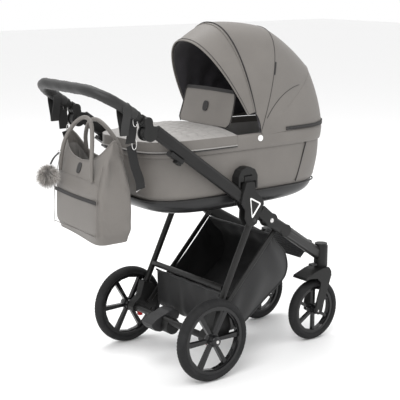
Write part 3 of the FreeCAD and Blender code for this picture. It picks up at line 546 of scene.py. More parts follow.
def strip(name, line, across, width, thickness):
    """A flat strip of cloth along a line; across gives its width direction at each point."""
    count = len(line)
    if not isinstance(across, list):
        across = [across] * count

    def corner(u, v):
        k = round(u * (count - 1))
        return line[k] + across[k] * ((v - 0.5) * width)

    piece = surface(name, count - 1, 2, corner)
    walled(piece, thickness, 0.0)
    return soft_shade(piece, 50)


def finish_piece(piece, finish, body, replaces=()):
    """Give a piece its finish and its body."""
    piece.data.materials.clear()
    piece.data.materials.append(finish)
    if replaces:
        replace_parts(piece, *replaces)
    if body:
        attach(piece, body)
    return piece


FINISHES = {}


def finishes():
    """All the finishes, made once."""
    if FINISHES:
        return FINISHES
    colours = bpy.context.scene.pram_colours
    sizes = bpy.context.scene.pram_sizes
    leather = tuple(colours.leather)
    FINISHES.update(
        leather=leather_finish("taupe_leather", leather),
        dark_leather=leather_finish("grip_leather", tuple(colours.grip), 0.48, 0.35, 480.0),
        quilted=quilted_finish("quilted_leather", tuple(colours.quilted), sizes.quilt),
        lining=cloth_finish("hood_lining", tuple(colours.lining), 0.0012, 0.75, 0.3, 0.2, 0.25),
        coat=coat_finish("powder_coat", tuple(colours.chassis)),
        plastic=plastic_finish("black_plastic", tuple(colours.plastic)),
        grey_plastic=plastic_finish("grey_plastic", (0.032, 0.032, 0.033), 0.4),
        base_plastic=plastic_finish("base_plastic", (0.013, 0.013, 0.0135), 0.35, 0.15, 700.0, 0.2),
        rim=plastic_finish("rim_plastic", (0.007, 0.007, 0.0075), 0.2, 0.05, 800.0, 0.25),
        rubber=rubber_finish("tyre_rubber", tuple(colours.tyre)),
        ribbed=plastic_finish("footplate_rubber", (0.03, 0.03, 0.031), 0.6, 0.3, 700.0),
        white=plastic_finish("white_plastic", (0.8, 0.8, 0.79), 0.3, 0.05),
        red=plastic_finish("red_plastic", (0.45, 0.012, 0.012), 0.3, 0.05),
        basket=cloth_finish("basket_cloth", tuple(colours.basket), 0.0011, 0.62, 0.3, 0.15, 0.3),
        basket_panel=leather_finish("basket_panel", (0.016, 0.016, 0.0165), 0.42, 0.4, 420.0),
        webbing=cloth_finish("black_webbing", (0.007, 0.007, 0.007), 0.0016, 0.7, 0.6),
        mattress=cloth_finish("mattress_cloth", (0.5, 0.49, 0.48), 0.001, 0.85),
        inner=cloth_finish("bag_lining", (0.20, 0.19, 0.18), 0.001, 0.8),
        steel=steel_finish("plated_steel", (0.62, 0.61, 0.6)),
        zip=zip_finish("zip_tape", (0.012, 0.011, 0.011)),
        piping=leather_finish("black_piping", (0.014, 0.013, 0.013), 0.45, 0.2, 900.0),
        pale_piping=leather_finish("pale_piping", (0.27, 0.26, 0.25), 0.45, 0.2, 900.0),
        fur=fur_finish("grey_fur"),
    )
    return FINISHES


# ------------------------------------------------------------------------------ shapes shared by pieces


def plan(turn, half_long, half_wide, squareness=3.8):
    """A point of the carrycot's rounded plan; turn 0 points to the head end."""
    return (COT_X + half_long * power(math.cos(turn), 2 / squareness),
            half_wide * power(math.sin(turn), 2 / squareness))


# Hood ribs, from the rim at the head end to the front edge: (angle, reach, half width, squareness).
RIBS = ((3.2, 0.382, 0.203, 4.17), (34.0, 0.418, 0.204, 2.48), (70.0, 0.404, 0.203, 2.59),
        (101.0, 0.405, 0.198, 2.25), (119.5, 0.388, 0.190, 2.2))
HOOD_REAR, HOOD_FRONT = RIBS[0][0], RIBS[-1][0]


def rib_at(angle):
    """Reach, half width and squareness of the hood at an angle; the cloth is taut between ribs."""
    for (a0, r0, w0, s0), (a1, r1, w1, s1) in zip(RIBS, RIBS[1:]):
        if angle <= a1 + 1e-6:
            t = clamp((angle - a0) / (a1 - a0))
            span = math.radians(a1 - a0)
            chord = r0 * r1 * math.sin(span) / (r0 * math.sin(span * t) + r1 * math.sin(span * (1 - t)))
            arc = mix(r0, r1, t)
            return mix(arc, chord, 0.5), mix(w0, w1, t), mix(s0, s1, t)
    return RIBS[-1][1:]


def lowest_reach(angle):
    """How near the pivot the cloth starts: the visor ends well above it."""
    if angle > 101:
        return 0.088
    if angle > 70:
        return mix(0.012, 0.085, ((angle - 70) / 31) ** 1.2)
    return 0.012


def hood_point(angle, u, inset=0.0):
    """A point of the hood: angle about its pivot, u from the right foot over the top to the left."""
    reach, half, square = rib_at(angle)
    share = clamp(lowest_reach(angle) / reach, 0, 0.9) ** (square / 2)
    start = math.asin(clamp(share))
    turn = mix(start, math.pi - start, u)
    out = power(math.sin(turn), 2 / square) * (reach - inset)
    y = -power(math.cos(turn), 2 / square) * (half - inset)
    way = math.radians(angle)
    return HOOD_PIVOT + Vector((math.cos(way) * out, y, math.sin(way) * out))


def hood_blended(piece, finish):
    """A piece of the hood, which reaches from the carrycot to the front bow: give it its finish and bake its
    placement into its mesh.
    """
    piece.data.materials.clear()
    piece.data.materials.append(finish)
    hood_point(HOOD_REAR, 0.5)
    hood_point(112, 0.5)
    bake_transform(piece)
    return piece


class PRAM_OT_hood(bpy.types.Operator):
    """The hood: one taut cover over its bows, lining, piping, zip and seams."""
    bl_idname = "pram.hood"
    bl_label = "Hood"

    def execute(self, context):
        sizes = context.scene.pram_sizes
        look = finishes()
        middle = HOOD_PIVOT + Vector((0.05, 0, 0.1))
        cover = surface("hood_cover", 72, 64,
                        lambda u, v: hood_point(mix(HOOD_REAR, HOOD_FRONT, v), u), middle)
        walled(cover, sizes.cloth)
        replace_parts(hood_blended(soft_shade(cover, 60), look["leather"]), "hood_rear", "hood_middle",
                    "hood_front")
        lining = surface("hood_lining", 60, 48,
                         lambda u, v: hood_point(mix(HOOD_REAR + 3, HOOD_FRONT - 0.6, v), u, 0.0075
                                                 + 0.006 * math.sin(v * 5 * math.pi) ** 2), middle)
        walled(lining, 0.0012)
        hood_blended(soft_shade(lining, 60), look["lining"])
        self.trim(look, sizes)
        return {"FINISHED"}

    def trim(self, look, sizes):
        def arch(angle, proud=0.0, low=0.0, high=1.0, steps=64):
            return [hood_point(angle, mix(low, high, k / steps), -proud) for k in range(steps + 1)]

        edge = tube("hood_edge_piping", arch(HOOD_FRONT), sizes.piping * 1.3, 10)
        hood_blended(edge, look["leather"])
        hood_blended(tube("hood_edge_cord", arch(HOOD_FRONT - 1.3, 0.0012), sizes.seam, 8), look["piping"])
        hood_blended(tube("hood_zip_piping", arch(101, 0.0008), sizes.piping * 1.15, 10), look["piping"])
        hood_blended(tube("hood_zip_flap", arch(102.6, 0.0012), sizes.piping * 0.9, 8), look["leather"])
        hood_blended(tube("hood_rib_seam", arch(70, 0.0004), sizes.seam, 8), look["piping"])
        hood_blended(tube("hood_rear_seam", arch(34, 0.0, 0.1, 0.9), sizes.seam, 8), look["leather"])
        for label, flip in (("right", 0), ("left", 1)):
            line = []
            for k in range(25):
                t = k / 24
                u = mix(0.03, 0.2, t)
                line.append(hood_point(mix(62, 38, t), abs(flip - u), -0.0006))
            hood_blended(tube(f"hood_dart_{label}", line, sizes.seam, 8), look["piping"])
            tag = [hood_point(69.2, abs(flip - mix(0.155, 0.205, k / 8)), -0.0014) for k in range(9)]
            hood_blended(strip(f"hood_tag_{label}", tag, Vector((1, 0, 0)), 0.006, 0.0012),
                         look["piping"])
        lower = []
        for k in range(97):
            lower.append(hood_point(HOOD_REAR, mix(0.03, 0.97, k / 96), -0.0024))

        def band(u, v):
            k = round(u * 96)
            point = lower[k].copy()
            point.z = mix(RIM_TOP + 0.001, max(point.z + 0.0065, RIM_TOP + 0.013), v)
            return point

        zip_band = surface("hood_zip", 96, 3, band, HOOD_PIVOT)
        walled(zip_band, 0.0016, 0.0)
        finish_piece(soft_shade(zip_band, 60), look["zip"], "carrycot")


class PRAM_OT_carrycot(bpy.types.Operator):
    """The carrycot: covered tub, rim band, moulded base, mattress, lining and side seams."""
    bl_idname = "pram.carrycot"
    bl_label = "Carrycot"

    def side_point(self, turn, z, proud=0.0):
        """A point on the padded side at a height."""
        t = clamp((z - COT_FLOOR) / (RIM_TOP - COT_FLOOR))
        half_long = mix(COT_HALF_LONG - 0.034, COT_HALF_LONG, t ** 0.8) + proud
        half_wide = mix(COT_HALF_WIDE - 0.014, COT_HALF_WIDE - 0.001, t ** 0.6) + proud
        x, y = plan(turn, half_long, half_wide)
        return Vector((x, y, z))

    def execute(self, context):
        sizes = context.scene.pram_sizes
        look = finishes()
        band_low = RIM_TOP - sizes.rim_band
        middle = Vector((COT_X, 0, (RIM_TOP + COT_FLOOR) / 2))

        def body(u, v):
            turn = 2 * math.pi * u
            z = mix(COT_FLOOR + 0.004, band_low + 0.004, v)
            puff = 0.0035 * math.sin(math.pi * v) + 0.0012 * math.sin(u * 34) * math.sin(v * 7)
            tuck = -0.004 * smooth(1 - v * 9) - 0.003 * smooth((v - 0.95) / 0.05)
            return self.side_point(turn, z, puff + tuck - 0.002)

        side = surface("carrycot_side", 160, 26, body, middle, closed=False)
        closed_up(side)
        facing(side, middle)
        walled(side, 0.004)
        finish_piece(soft_shade(side, 60), look["leather"], "carrycot",
                     ("carrycot_shell",))

        def rim(u, v):
            turn = 2 * math.pi * u
            profile = ((band_low, -0.004), (band_low, 0.0008), (band_low + 0.002, 0.0026),
                       (band_low + 0.02, 0.0032), (RIM_TOP - 0.012, 0.003), (RIM_TOP - 0.003, 0.001),
                       (RIM_TOP, -0.004), (RIM_TOP - 0.001, -0.011), (RIM_TOP - 0.012, -0.013),
                       (RIM_TOP - 0.16, -0.020))
            z, proud = profile[round(v * (len(profile) - 1))]
            return self.side_point(turn, z, proud)

        top = surface("carrycot_rim", 160, 9, rim)
        closed_up(top)
        facing(top, middle)
        subdivided(walled(top, 0.0022), 1)
        finish_piece(soft_shade(top, 60), look["leather"], "carrycot")

        def base(u, v):
            turn = 2 * math.pi * u
            curve = math.sin(v * math.pi / 2)
            x, y = plan(turn, mix(0.0, COT_HALF_LONG - 0.034, curve ** 0.55),
                        mix(0.0, COT_HALF_WIDE - 0.016, curve ** 0.5), 3.6)
            lift = (1 - math.cos(v * math.pi / 2)) ** 1.4
            return Vector((x, y, mix(COT_BOTTOM, COT_FLOOR + 0.006, lift)))

        tray = surface("carrycot_base_tray", 128, 26, base)
        closed_up(tray)
        facing(tray, middle)
        walled(tray, 0.003)
        finish_piece(soft_shade(tray, 60), look["base_plastic"], "carrycot",
                     ("carrycot_base",))
        self.inside(look)
        self.seams(look, sizes, band_low)
        return {"FINISHED"}

    def inside(self, look):
        low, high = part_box("mattress")

        def pad(u, v):
            turn = 2 * math.pi * u
            ring = math.sin(math.pi * v)
            x, y = plan(turn, 0.385 * ring ** 0.22, 0.158 * ring ** 0.22, 3.6)
            z = mix(low[2], high[2] - 0.004, v) if ring > 0.2 else mix(low[2], high[2], v)
            dimple = 0.0022 * math.sin(x * 42) * math.sin(y * 42) * smooth((v - 0.6) * 4)
            return Vector((x, y, z + dimple))

        cushion = surface("mattress_pad", 96, 20, pad)
        closed_up(cushion)
        finish_piece(soft_shade(cushion, 60), look["mattress"], "carrycot",
                     ("mattress",))

        def wall(u, v):
            return self.side_point(2 * math.pi * u, mix(COT_FLOOR + 0.006, RIM_TOP - 0.02, v),
                                   -0.021 + 0.002 * math.sin(u * 60) * math.sin(v * 9))

        liner = surface("carrycot_liner", 120, 12, wall)
        closed_up(liner)
        walled(liner, 0.002)
        finish_piece(soft_shade(liner, 60), look["mattress"], "carrycot")

    def seams(self, look, sizes, band_low):
        def ring(z, proud, steps=160):
            fine = [self.side_point(2 * math.pi * k / 2000, z, proud) for k in range(2001)]
            walked = [0.0]
            for before, after in zip(fine, fine[1:]):
                walked.append(walked[-1] + (after - before).length)
            points, k = [], 0
            for step in range(steps):
                while walked[k + 1] < walked[-1] * step / steps:
                    k += 1
                points.append(fine[k])
            return points

        seam = tube("carrycot_band_seam", ring(band_low + 0.001, 0.0022), 0.0013, 6, loop=True)
        finish_piece(seam, look["piping"], "carrycot")
        hem = tube("carrycot_hem", ring(COT_FLOOR + 0.003, 0.001), 0.0028, 8, loop=True)
        finish_piece(hem, look["piping"], "carrycot")
        for label, sign in SIDES:
            line = []
            for k in range(17):
                t = k / 16
                z = mix(band_low - 0.002, COT_FLOOR + 0.014, t)
                line.append(self.side_on(mix(0.506, 0.459, t) + AXLE_X, z, sign))
            cord = tube(f"carrycot_side_piping_{label}", line, sizes.piping, 8)
            finish_piece(cord, look["piping"], "carrycot")

    def side_on(self, x, z, sign):
        """The point of the side at a given X and height."""
        low, high = 0.0, math.pi
        for step in range(40):
            turn = (low + high) / 2
            if self.side_point(turn, z).x > x:
                low = turn
            else:
                high = turn
        point = self.side_point(turn, z, 0.0022)
        return Vector((point.x, point.y * sign, z))


class PRAM_OT_apron(bpy.types.Operator):
    """The quilted apron over the foot end and its standing wind flap."""
    bl_idname = "pram.apron"
    bl_label = "Apron"

    def execute(self, context):
        sizes = context.scene.pram_sizes
        look = finishes()
        front = AXLE_X + 0.158

        def cover(u, v):
            turn = mix(math.pi * 0.5, math.pi * 1.5, u)
            skirt = 0.26
            if v < skirt:
                t = v / skirt
                x, y = plan(turn, COT_HALF_LONG + 0.0065, COT_HALF_WIDE + 0.0065)
                z = mix(RIM_TOP - 0.032, RIM_TOP + 0.004, t)
            else:
                t = (v - skirt) / (1 - skirt)
                shrink = 1 - t
                x, y = plan(turn, (COT_HALF_LONG + 0.0065) * shrink ** 0.9,
                            (COT_HALF_WIDE + 0.0065) * shrink)
                z = RIM_TOP + 0.004 + 0.017 * math.sin(min(t * 1.6, 1) * math.pi / 2)
            reach = (COT_X - x) / COT_HALF_LONG
            x = mix(front, COT_X - COT_HALF_LONG - 0.0065, clamp(reach)) if v >= 0 else x
            if v >= skirt:
                puff = abs(math.sin((y + 0.004 * math.sin(x * 30)) * math.pi / sizes.quilt)) ** 0.6
                puff *= abs(math.sin(x * math.pi / (sizes.quilt * 1.4))) ** 0.5
                z += 0.0055 * puff * smooth(t * 6) * smooth((front - x) * 18)
            return Vector((x, y, z))

        quilt = surface("apron_cover", 150, 90, cover)
        closed_up(quilt)
        facing(quilt, Vector((front - 0.15, 0, RIM_TOP - 0.03)))
        walled(quilt, 0.0035)
        finish_piece(soft_shade(quilt, 60), look["quilted"], "carrycot", ("apron",))
        quilt.data.materials.append(look["leather"])
        for face in quilt.data.polygons:
            face.material_index = int(face.center.z < RIM_TOP + 0.003)
        hem = [Vector((*self.edge(k / 90, front), RIM_TOP - 0.032)) for k in range(91)]
        finish_piece(tube("apron_piping", hem, sizes.piping * 1.2, 10), look["pale_piping"], "carrycot")
        low_hem = [point - Vector((0, 0, 0.0042)) for point in hem]
        finish_piece(tube("apron_piping_dark", low_hem, sizes.piping, 10), look["piping"], "carrycot")
        self.flap(look, sizes)
        return {"FINISHED"}

    def edge(self, u, front):
        turn = mix(math.pi * 0.5, math.pi * 1.5, u)
        x, y = plan(turn, COT_HALF_LONG + 0.0072, COT_HALF_WIDE + 0.0072)
        reach = clamp((COT_X - x) / COT_HALF_LONG)
        return mix(front, COT_X - COT_HALF_LONG - 0.0072, reach), y

    def flap_point(self, u, v, proud=0.0):
        """A point of the standing flap: u across, v upwards."""
        across = mix(-1, 1, u)
        height = 0.133
        z = RIM_TOP + 0.021 + height * v - 0.004 * across * across * v
        width = 0.152 - 0.006 * v - 0.010 * max(0.0, v - 0.85) / 0.15 * abs(across)
        width -= 0.016 * max(0.0, 1 - v / 0.16) ** 2
        bow = 0.012 * (1 - across * across)
        lean = 0.036 * v + 0.004 * math.sin(v * math.pi)
        return at(0.166 + lean - bow * 0.6 - proud, across * width, z)

    def flap(self, look, sizes):
        inside = at(0.3, 0, RIM_TOP + 0.08)
        flap = surface("wind_flap_panel", 60, 30, self.flap_point, inside)
        walled(flap, 0.008, 0.0)
        apply(flap, "BEVEL", width=0.0028, segments=3, limit_method="ANGLE", angle_limit=math.radians(50))
        finish_piece(soft_shade(flap, 50), look["leather"], "wind_flap", ("wind_flap",))
        band = surface("wind_flap_band", 60, 4, lambda u, v: self.flap_point(u, mix(0.93, 1.02, v), 0.0052),
                       inside)
        walled(band, 0.0016, 0.0)
        finish_piece(soft_shade(band, 50), look["piping"], "wind_flap")
        outline = [self.flap_point(0, v / 10, 0.003) for v in range(10)]
        outline += [self.flap_point(u / 30, 1, 0.003) for u in range(31)]
        outline += [self.flap_point(1, 1 - v / 10, 0.003) for v in range(1, 11)]
        finish_piece(tube("wind_flap_piping", outline, sizes.piping, 8), look["piping"], "wind_flap")
        patch = patch_plate("wind_flap_patch", lambda x, y: self.flap_point(0.5 + x / 0.3, 0.5 + y / 0.133,
                                                                            0.0055), 0.030, 0.036)
        finish_piece(patch, look["piping"], "wind_flap")


def patch_plate(name, place, width, height):
    """A plain stitched oval patch laid on a surface."""
    def corner(u, v):
        turn = 2 * math.pi * u
        ring = (1.0, 0.86, 0.78, 0.0)[round(v * 3)]
        return place(0.5 * width * ring * power(math.cos(turn), 0.7),
                     0.5 * height * ring * power(math.sin(turn), 0.7))

    piece = surface(name, 32, 3, corner)
    closed_up(piece)
    walled(piece, 0.0012, 0.0)
    return soft_shade(piece, 40)


class PRAM_OT_bag(bpy.types.Operator):
    """The tote bag: sagging shell with gussets, lining, pocket zip, seams, handles and hanging straps."""
    bl_idname = "pram.bag"
    bl_label = "Tote bag"

    LOW = 0.536
    HALF_WIDE = 0.168

    def half_deep(self, z):
        body = 0.070 + 0.006 * math.sin(math.pi * clamp((z - self.LOW) / 0.2))
        return body * (1 - 0.86 * clamp((z - 0.70) / 0.182) ** 1.25)

    def top(self, y):
        return 0.797 + 0.083 * (abs(y) / self.HALF_WIDE) ** 2.6

    def shell_point(self, u, v, proud=0.0):
        """u runs round the bag from the middle of its outer face; v runs up."""
        turn = 2 * math.pi * u
        half_wide = self.HALF_WIDE - 0.012 * smooth(1 - v * 8)
        y = -half_wide * power(math.sin(turn), 0.28)
        z = mix(self.LOW, self.top(y), v)
        deep = self.half_deep(z) * (1 - 0.12 * smooth(1 - v * 8))
        x = -deep * power(math.cos(turn), 0.28)
        side = smooth((abs(y) / self.HALF_WIDE - 0.9) / 0.1)
        pinch = side * math.exp(-(x / 0.022) ** 2) * smooth((z - 0.6) / 0.2) * smooth((0.86 - z) / 0.1)
        y -= math.copysign(0.022 * pinch, y)
        folds = 0.004 * side * math.sin(z * 38 + x * 60 + y * 9)
        sag = 0.003 * math.sin(z * 21 + y * 17) * (1 - side)
        x += (sag + proud) * (-1 if math.cos(turn) > 0 else 1) * (1 - side)
        y += math.copysign(folds + proud * side, y)
        roll = 0.006 * math.sin(y * 14) * smooth(1 - v * 5)
        return at(-0.316 + x + 0.085 * y, y, z + roll)

    def face_point(self, y, z, proud=0.0012):
        """A point on the outer face of the bag."""
        x = -self.half_deep(z) + 0.003 * math.sin(z * 21 + y * 17) * -1 - proud
        return at(-0.316 + x + 0.085 * y, y, z)

    def execute(self, context):
        sizes = context.scene.pram_sizes
        look = finishes()
        middle = at(-0.316, 0, 0.66)
        shell = surface("bag_shell", 150, 56, self.shell_point)
        closed_up(shell)
        facing(shell, middle)
        walled(shell, 0.003)
        finish_piece(soft_shade(shell, 70), look["leather"], "bag",
                     ("bag_body", "bag_handles"))

        def lined(u, v):
            point = self.shell_point(u, mix(0.03, 0.86, v), -0.0042)
            point.x = mix(at(-0.316 + 0.085 * point.y, 0, 0).x, point.x, 0.88)
            point.y *= 0.93
            return point

        lining = surface("bag_lining", 110, 24, lined)
        closed_up(lining)
        finish_piece(soft_shade(walled(lining, 0.001), 70), look["inner"], "bag")

        def floor(u, v):
            rim = self.shell_point(u, 0.0, -0.001)
            sag = Vector((0, 0, 0.008 * math.sin(v * math.pi)))
            return mix(rim, at(-0.316, 0, self.LOW + 0.002), 1 - v) - sag

        bottom = surface("bag_bottom", 100, 8, floor)
        closed_up(bottom)
        finish_piece(soft_shade(walled(bottom, 0.003, 0.0), 70), look["leather"], "bag")
        self.trim(look, sizes)
        self.handles(look)
        self.straps(look)
        return {"FINISHED"}

    def trim(self, look, sizes):
        def add(name, line, radius, finish):
            finish_piece(tube(name, line, radius, 8), look[finish], "bag")

        edge = [self.face_point(mix(0.158, -0.158, k / 40), 0.678) for k in range(41)]
        stripe = strip("bag_pocket_zip", edge, Vector((0, 0, 1)), 0.0125, 0.0018)
        finish_piece(stripe, look["zip"], "bag")
        add("bag_face_seam", [self.face_point(mix(0.158, -0.158, k / 40), 0.741, 0.0004)
                              for k in range(41)], sizes.seam, "leather")
        add("bag_low_seam", [self.face_point(mix(0.158, -0.158, k / 40), 0.560, 0.0) for k in range(41)],
            sizes.seam * 1.6, "leather")
        for label, sign in SIDES:
            line = [self.face_point(0.160 * sign, mix(0.552, 0.80, k / 30), 0.0002) for k in range(31)]
            add(f"bag_corner_seam_{label}", line, sizes.seam * 1.3, "leather")
        top_edge = [self.shell_point(k / 150, 1.0, 0.0) for k in range(150)]
        finish_piece(tube("bag_top_binding", top_edge, sizes.piping * 1.1, 8, loop=True), look["leather"],
                     "bag")
        patch = patch_plate("bag_patch", lambda x, y: self.face_point(0.002 - x, 0.771 + y, 0.0016),
                            0.030, 0.036)
        finish_piece(patch, look["piping"], "bag")

    def handles(self, look):
        outer = [at(-0.392, -0.118, 0.742), at(-0.388, -0.112, 0.80), at(-0.372, -0.094, 0.88),
                 at(-0.356, -0.062, 0.932), at(-0.350, -0.012, 0.944), at(-0.352, 0.050, 0.916),
                 at(-0.360, 0.100, 0.858), at(-0.368, 0.116, 0.80), at(-0.374, 0.118, 0.748)]
        inner = [at(-0.262, -0.104, 0.80), at(-0.268, -0.096, 0.85), at(-0.290, -0.064, 0.905),
                 at(-0.300, -0.010, 0.932), at(-0.298, 0.044, 0.916), at(-0.286, 0.088, 0.862),
                 at(-0.268, 0.108, 0.80)]
        for label, points in (("outer", outer), ("inner", inner)):
            line = curve_points(points, 8)
            roll = tube(f"bag_handle_{label}", line, 0.0072, 14,
                        taper=lambda t: 0.75 + 0.25 * smooth(min(t, 1 - t) * 10))
            finish_piece(roll, look["leather"], "bag")
            seam = [point + Vector((0.0, 0, -0.0072)) for point in line[8:-8]]
            finish_piece(tube(f"bag_handle_seam_{label}", seam, 0.0007, 6), look["piping"], "bag")

    def straps(self, look):
        for label, sign in SIDES:
            y = 0.222 * sign
            wrap = self.wrap(f"bag_strap_wrap_{label}", at(-0.330, y, 0.990), 0.030)
            finish_piece(wrap, look["dark_leather"], "bag_straps",
                         ("bag_straps",) if sign > 0 else ())
            points = [at(-0.298, y, 0.958), at(-0.298, y * 0.99, 0.915), at(-0.300, y * 0.95, 0.875)]
            line = curve_points(points, 6)
            web = strip(f"bag_strap_web_{label}", line, Vector((1, 0, 0)), 0.036, 0.0024)
            finish_piece(web, look["webbing"], "bag_straps")
            for k, (x, z, size) in enumerate(((-0.286, 0.950, 0.013), (-0.282, 0.872, 0.013))):
                ring = []
                for step in range(24):
                    turn = 2 * math.pi * step / 24
                    ring.append(at(x + size * 0.7 * math.cos(turn), y * (1.0 if k == 0 else 0.94),
                                   z + size * 1.5 * power(math.sin(turn), 0.8)))
                finish_piece(tube(f"bag_hook_{label}_{k}", ring, 0.0017, 8, loop=True,
                                  up=Vector((0, 1, 0))), look["steel"], "bag_straps")
            points = [at(-0.294, y * 0.93, 0.868), at(-0.276, y * 0.90, 0.80), at(-0.252, y * 0.87, 0.745),
                      at(-0.243, y * 0.84, 0.712)]
            line = curve_points(points, 6)
            low = strip(f"bag_strap_low_{label}", line, Vector((1, 0, 0.2)).normalized(), 0.034, 0.0026)
            finish_piece(low, look["webbing"], "bag_straps")
            slide = tube(f"bag_slide_{label}", [at(-0.262, y * 0.84, 0.704), at(-0.226, y * 0.84, 0.722)],
                         0.0015, 8)
            finish_piece(slide, look["steel"], "bag_straps")

    def wrap(self, name, centre, wide):
        """A leather loop over the handle's arm, hanging down with both ends together."""
        radius = 0.0205

        def corner(u, v):
            t = u * 2 - 1
            if abs(t) < 0.5:
                turn = t * 2 * math.pi * 0.5
                y, z = math.sin(turn) * radius, math.cos(turn) * radius
            else:
                drop = (abs(t) - 0.5) / 0.5
                y = math.copysign(mix(radius, 0.003, smooth(drop)), t)
                z = -drop * 0.086
            return centre + Vector(((v - 0.5) * wide, y, z))

        piece = surface(name, 48, 6, corner)
        walled(piece, 0.002, 0.0)
        return soft_shade(piece, 60)


class PRAM_OT_pompom(bpy.types.Operator):
    """The fur pompom on its strap and ring."""
    bl_idname = "pram.pompom"
    bl_label = "Pompom"

    def execute(self, context):
        look = finishes()
        low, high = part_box("pompom")
        radius = (high[1] - low[1]) / 2
        centre = Vector(((low[0] + high[0]) / 2, (low[1] + high[1]) / 2, low[2] + radius))
        centre.x = low[0] + radius
        rolls = random.Random(4)
        count = context.scene.pram_sizes.fur
        vertices, faces, marks = [], [], []
        for k in range(count):
            z = 1 - 2 * (k + 0.5) / count
            turn = k * math.pi * (3 - math.sqrt(5))
            ring = math.sqrt(1 - z * z)
            way = Vector((ring * math.cos(turn), ring * math.sin(turn), z))
            way = (way + Vector([rolls.uniform(-0.35, 0.35) for i in range(3)])).normalized()
            side = way.orthogonal().normalized()
            other = way.cross(side)
            droop = Vector((0, 0, -0.010 - rolls.random() * 0.008))
            length = radius * rolls.uniform(0.80, 1.16)
            lot = rolls.random()
            first = len(vertices)
            for step in range(4):
                t = step / 3
                middle = centre + way * (radius * 0.12 + (length - radius * 0.12) * t) + droop * t * t
                middle += side * (0.004 * (lot - 0.5) * t * 3)
                width = 0.00105 * (1 - t * 0.92)
                for corner in range(3):
                    spin = 2 * math.pi * corner / 3
                    vertices.append(middle + side * (math.cos(spin) * width)
                                    + other * (math.sin(spin) * width))
                    marks.append((lot, t))
            for step in range(3):
                for corner in range(3):
                    a = first + step * 3 + corner
                    b = first + step * 3 + (corner + 1) % 3
                    faces.append((a, b, b + 3, a + 3))
            faces.append((first + 9, first + 10, first + 11))
            faces.append((first + 2, first + 1, first))
        mesh = bpy.data.meshes.new("pompom_fur")
        mesh.from_pydata(vertices, [], faces)
        layer = mesh.uv_layers.new(name="hair")
        for loop in mesh.loops:
            layer.data[loop.index].uv = marks[loop.vertex_index]
        fur = bpy.data.objects.new("pompom_fur", mesh)
        context.collection.objects.link(fur)
        finish_piece(fur, look["fur"], "pompom", ("pompom",))
        top = centre + Vector((0.010, 0, radius * 0.7))
        anchor = Vector((high[0] + 0.004, centre.y, high[2]))
        line = curve_points([top, mix(top, anchor, 0.5) + Vector((-0.004, 0, 0.002)), anchor], 6)
        strap = strip("pompom_strap", line, Vector((0, 1, 0)), 0.009, 0.002)
        finish_piece(strap, look["piping"], "pompom")
        ring = [anchor + Vector((0, 0.008 * math.cos(k * math.pi / 10), 0.008 * math.sin(k * math.pi / 10)))
                for k in range(20)]
        finish_piece(tube("pompom_ring", ring, 0.0012, 8, loop=True, up=Vector((1, 0, 0))), look["steel"],
                     "pompom")
        return {"FINISHED"}


class PRAM_OT_handle(bpy.types.Operator):
    """The sewn leather grip on the handle."""
    bl_idname = "pram.handle"
    bl_label = "Handle grip"

    def execute(self, context):
        sizes = context.scene.pram_sizes
        look = finishes()
        line, tops = self.path(0.046)
        frames = frames_along(line, tops)
        count = len(line)

        def corner(u, v):
            turn = 2 * math.pi * u
            k = round(v * (count - 1))
            t = k / (count - 1)
            close = min(t, 1 - t) * 1.0
            size = sizes.grip * (1 - 0.09 * smooth(1 - close * 60))
            size += 0.0004 * math.sin(t * 260) + 0.0005 * math.sin(t * 71 + turn * 2)
            size -= 0.0016 * math.exp(-((abs((turn - 1.5 * math.pi)) / 0.09) ** 2))
            side, top = frames[k]
            return line[k] + side * (math.cos(turn) * size) + top * (math.sin(turn) * size)

        grip = surface("grip_leather_cover", 40, count - 1, corner)
        closed_up(grip)
        walled(grip, 0.003)
        finish_piece(soft_shade(grip, 60), look["dark_leather"], "handle", ("grip_cover",))
        for label, here in (("left", count - 1), ("right", 0)):
            way = (line[here] - line[here - 1 if here else 1]).normalized()
            collar_line = [line[here] - way * 0.006, line[here] + way * 0.010]
            collar = tube(f"grip_collar_{label}", collar_line, sizes.grip * 0.94, 32, up=tops)
            finish_piece(collar, look["plastic"], "handle")
        return {"FINISHED"}

    def path(self, start):
        """The middle line of the handle from one arm to the other, and its top direction."""
        rise, run = 0.1078, 0.1676
        slope = math.atan2(rise, run)
        back = Vector((-math.cos(slope), 0, math.sin(slope)))
        foot = at(-0.248, 0, 0.9435)
        long, half, bend = math.hypot(run, rise), 0.222, 0.107
        line = []
        for k in range(15):
            line.append(foot + back * mix(start, long - bend, k / 14) + Vector((0, -half, 0)))
        for k in range(1, 16):
            turn = math.pi / 2 * k / 15
            line.append(foot + back * (long - bend + bend * math.sin(turn))
                        + Vector((0, -half + bend - bend * math.cos(turn), 0)))
        for k in range(1, 24):
            line.append(foot + back * long + Vector((0, mix(-half + bend, half - bend, k / 24), 0)))
        mirrored = [Vector((p.x, -p.y, p.z)) for p in reversed(line[:30])]
        top = Vector((math.sin(slope), 0, math.cos(slope)))
        return line + mirrored, top


BASKET_HEM = at(0.345, 0, 0.462)


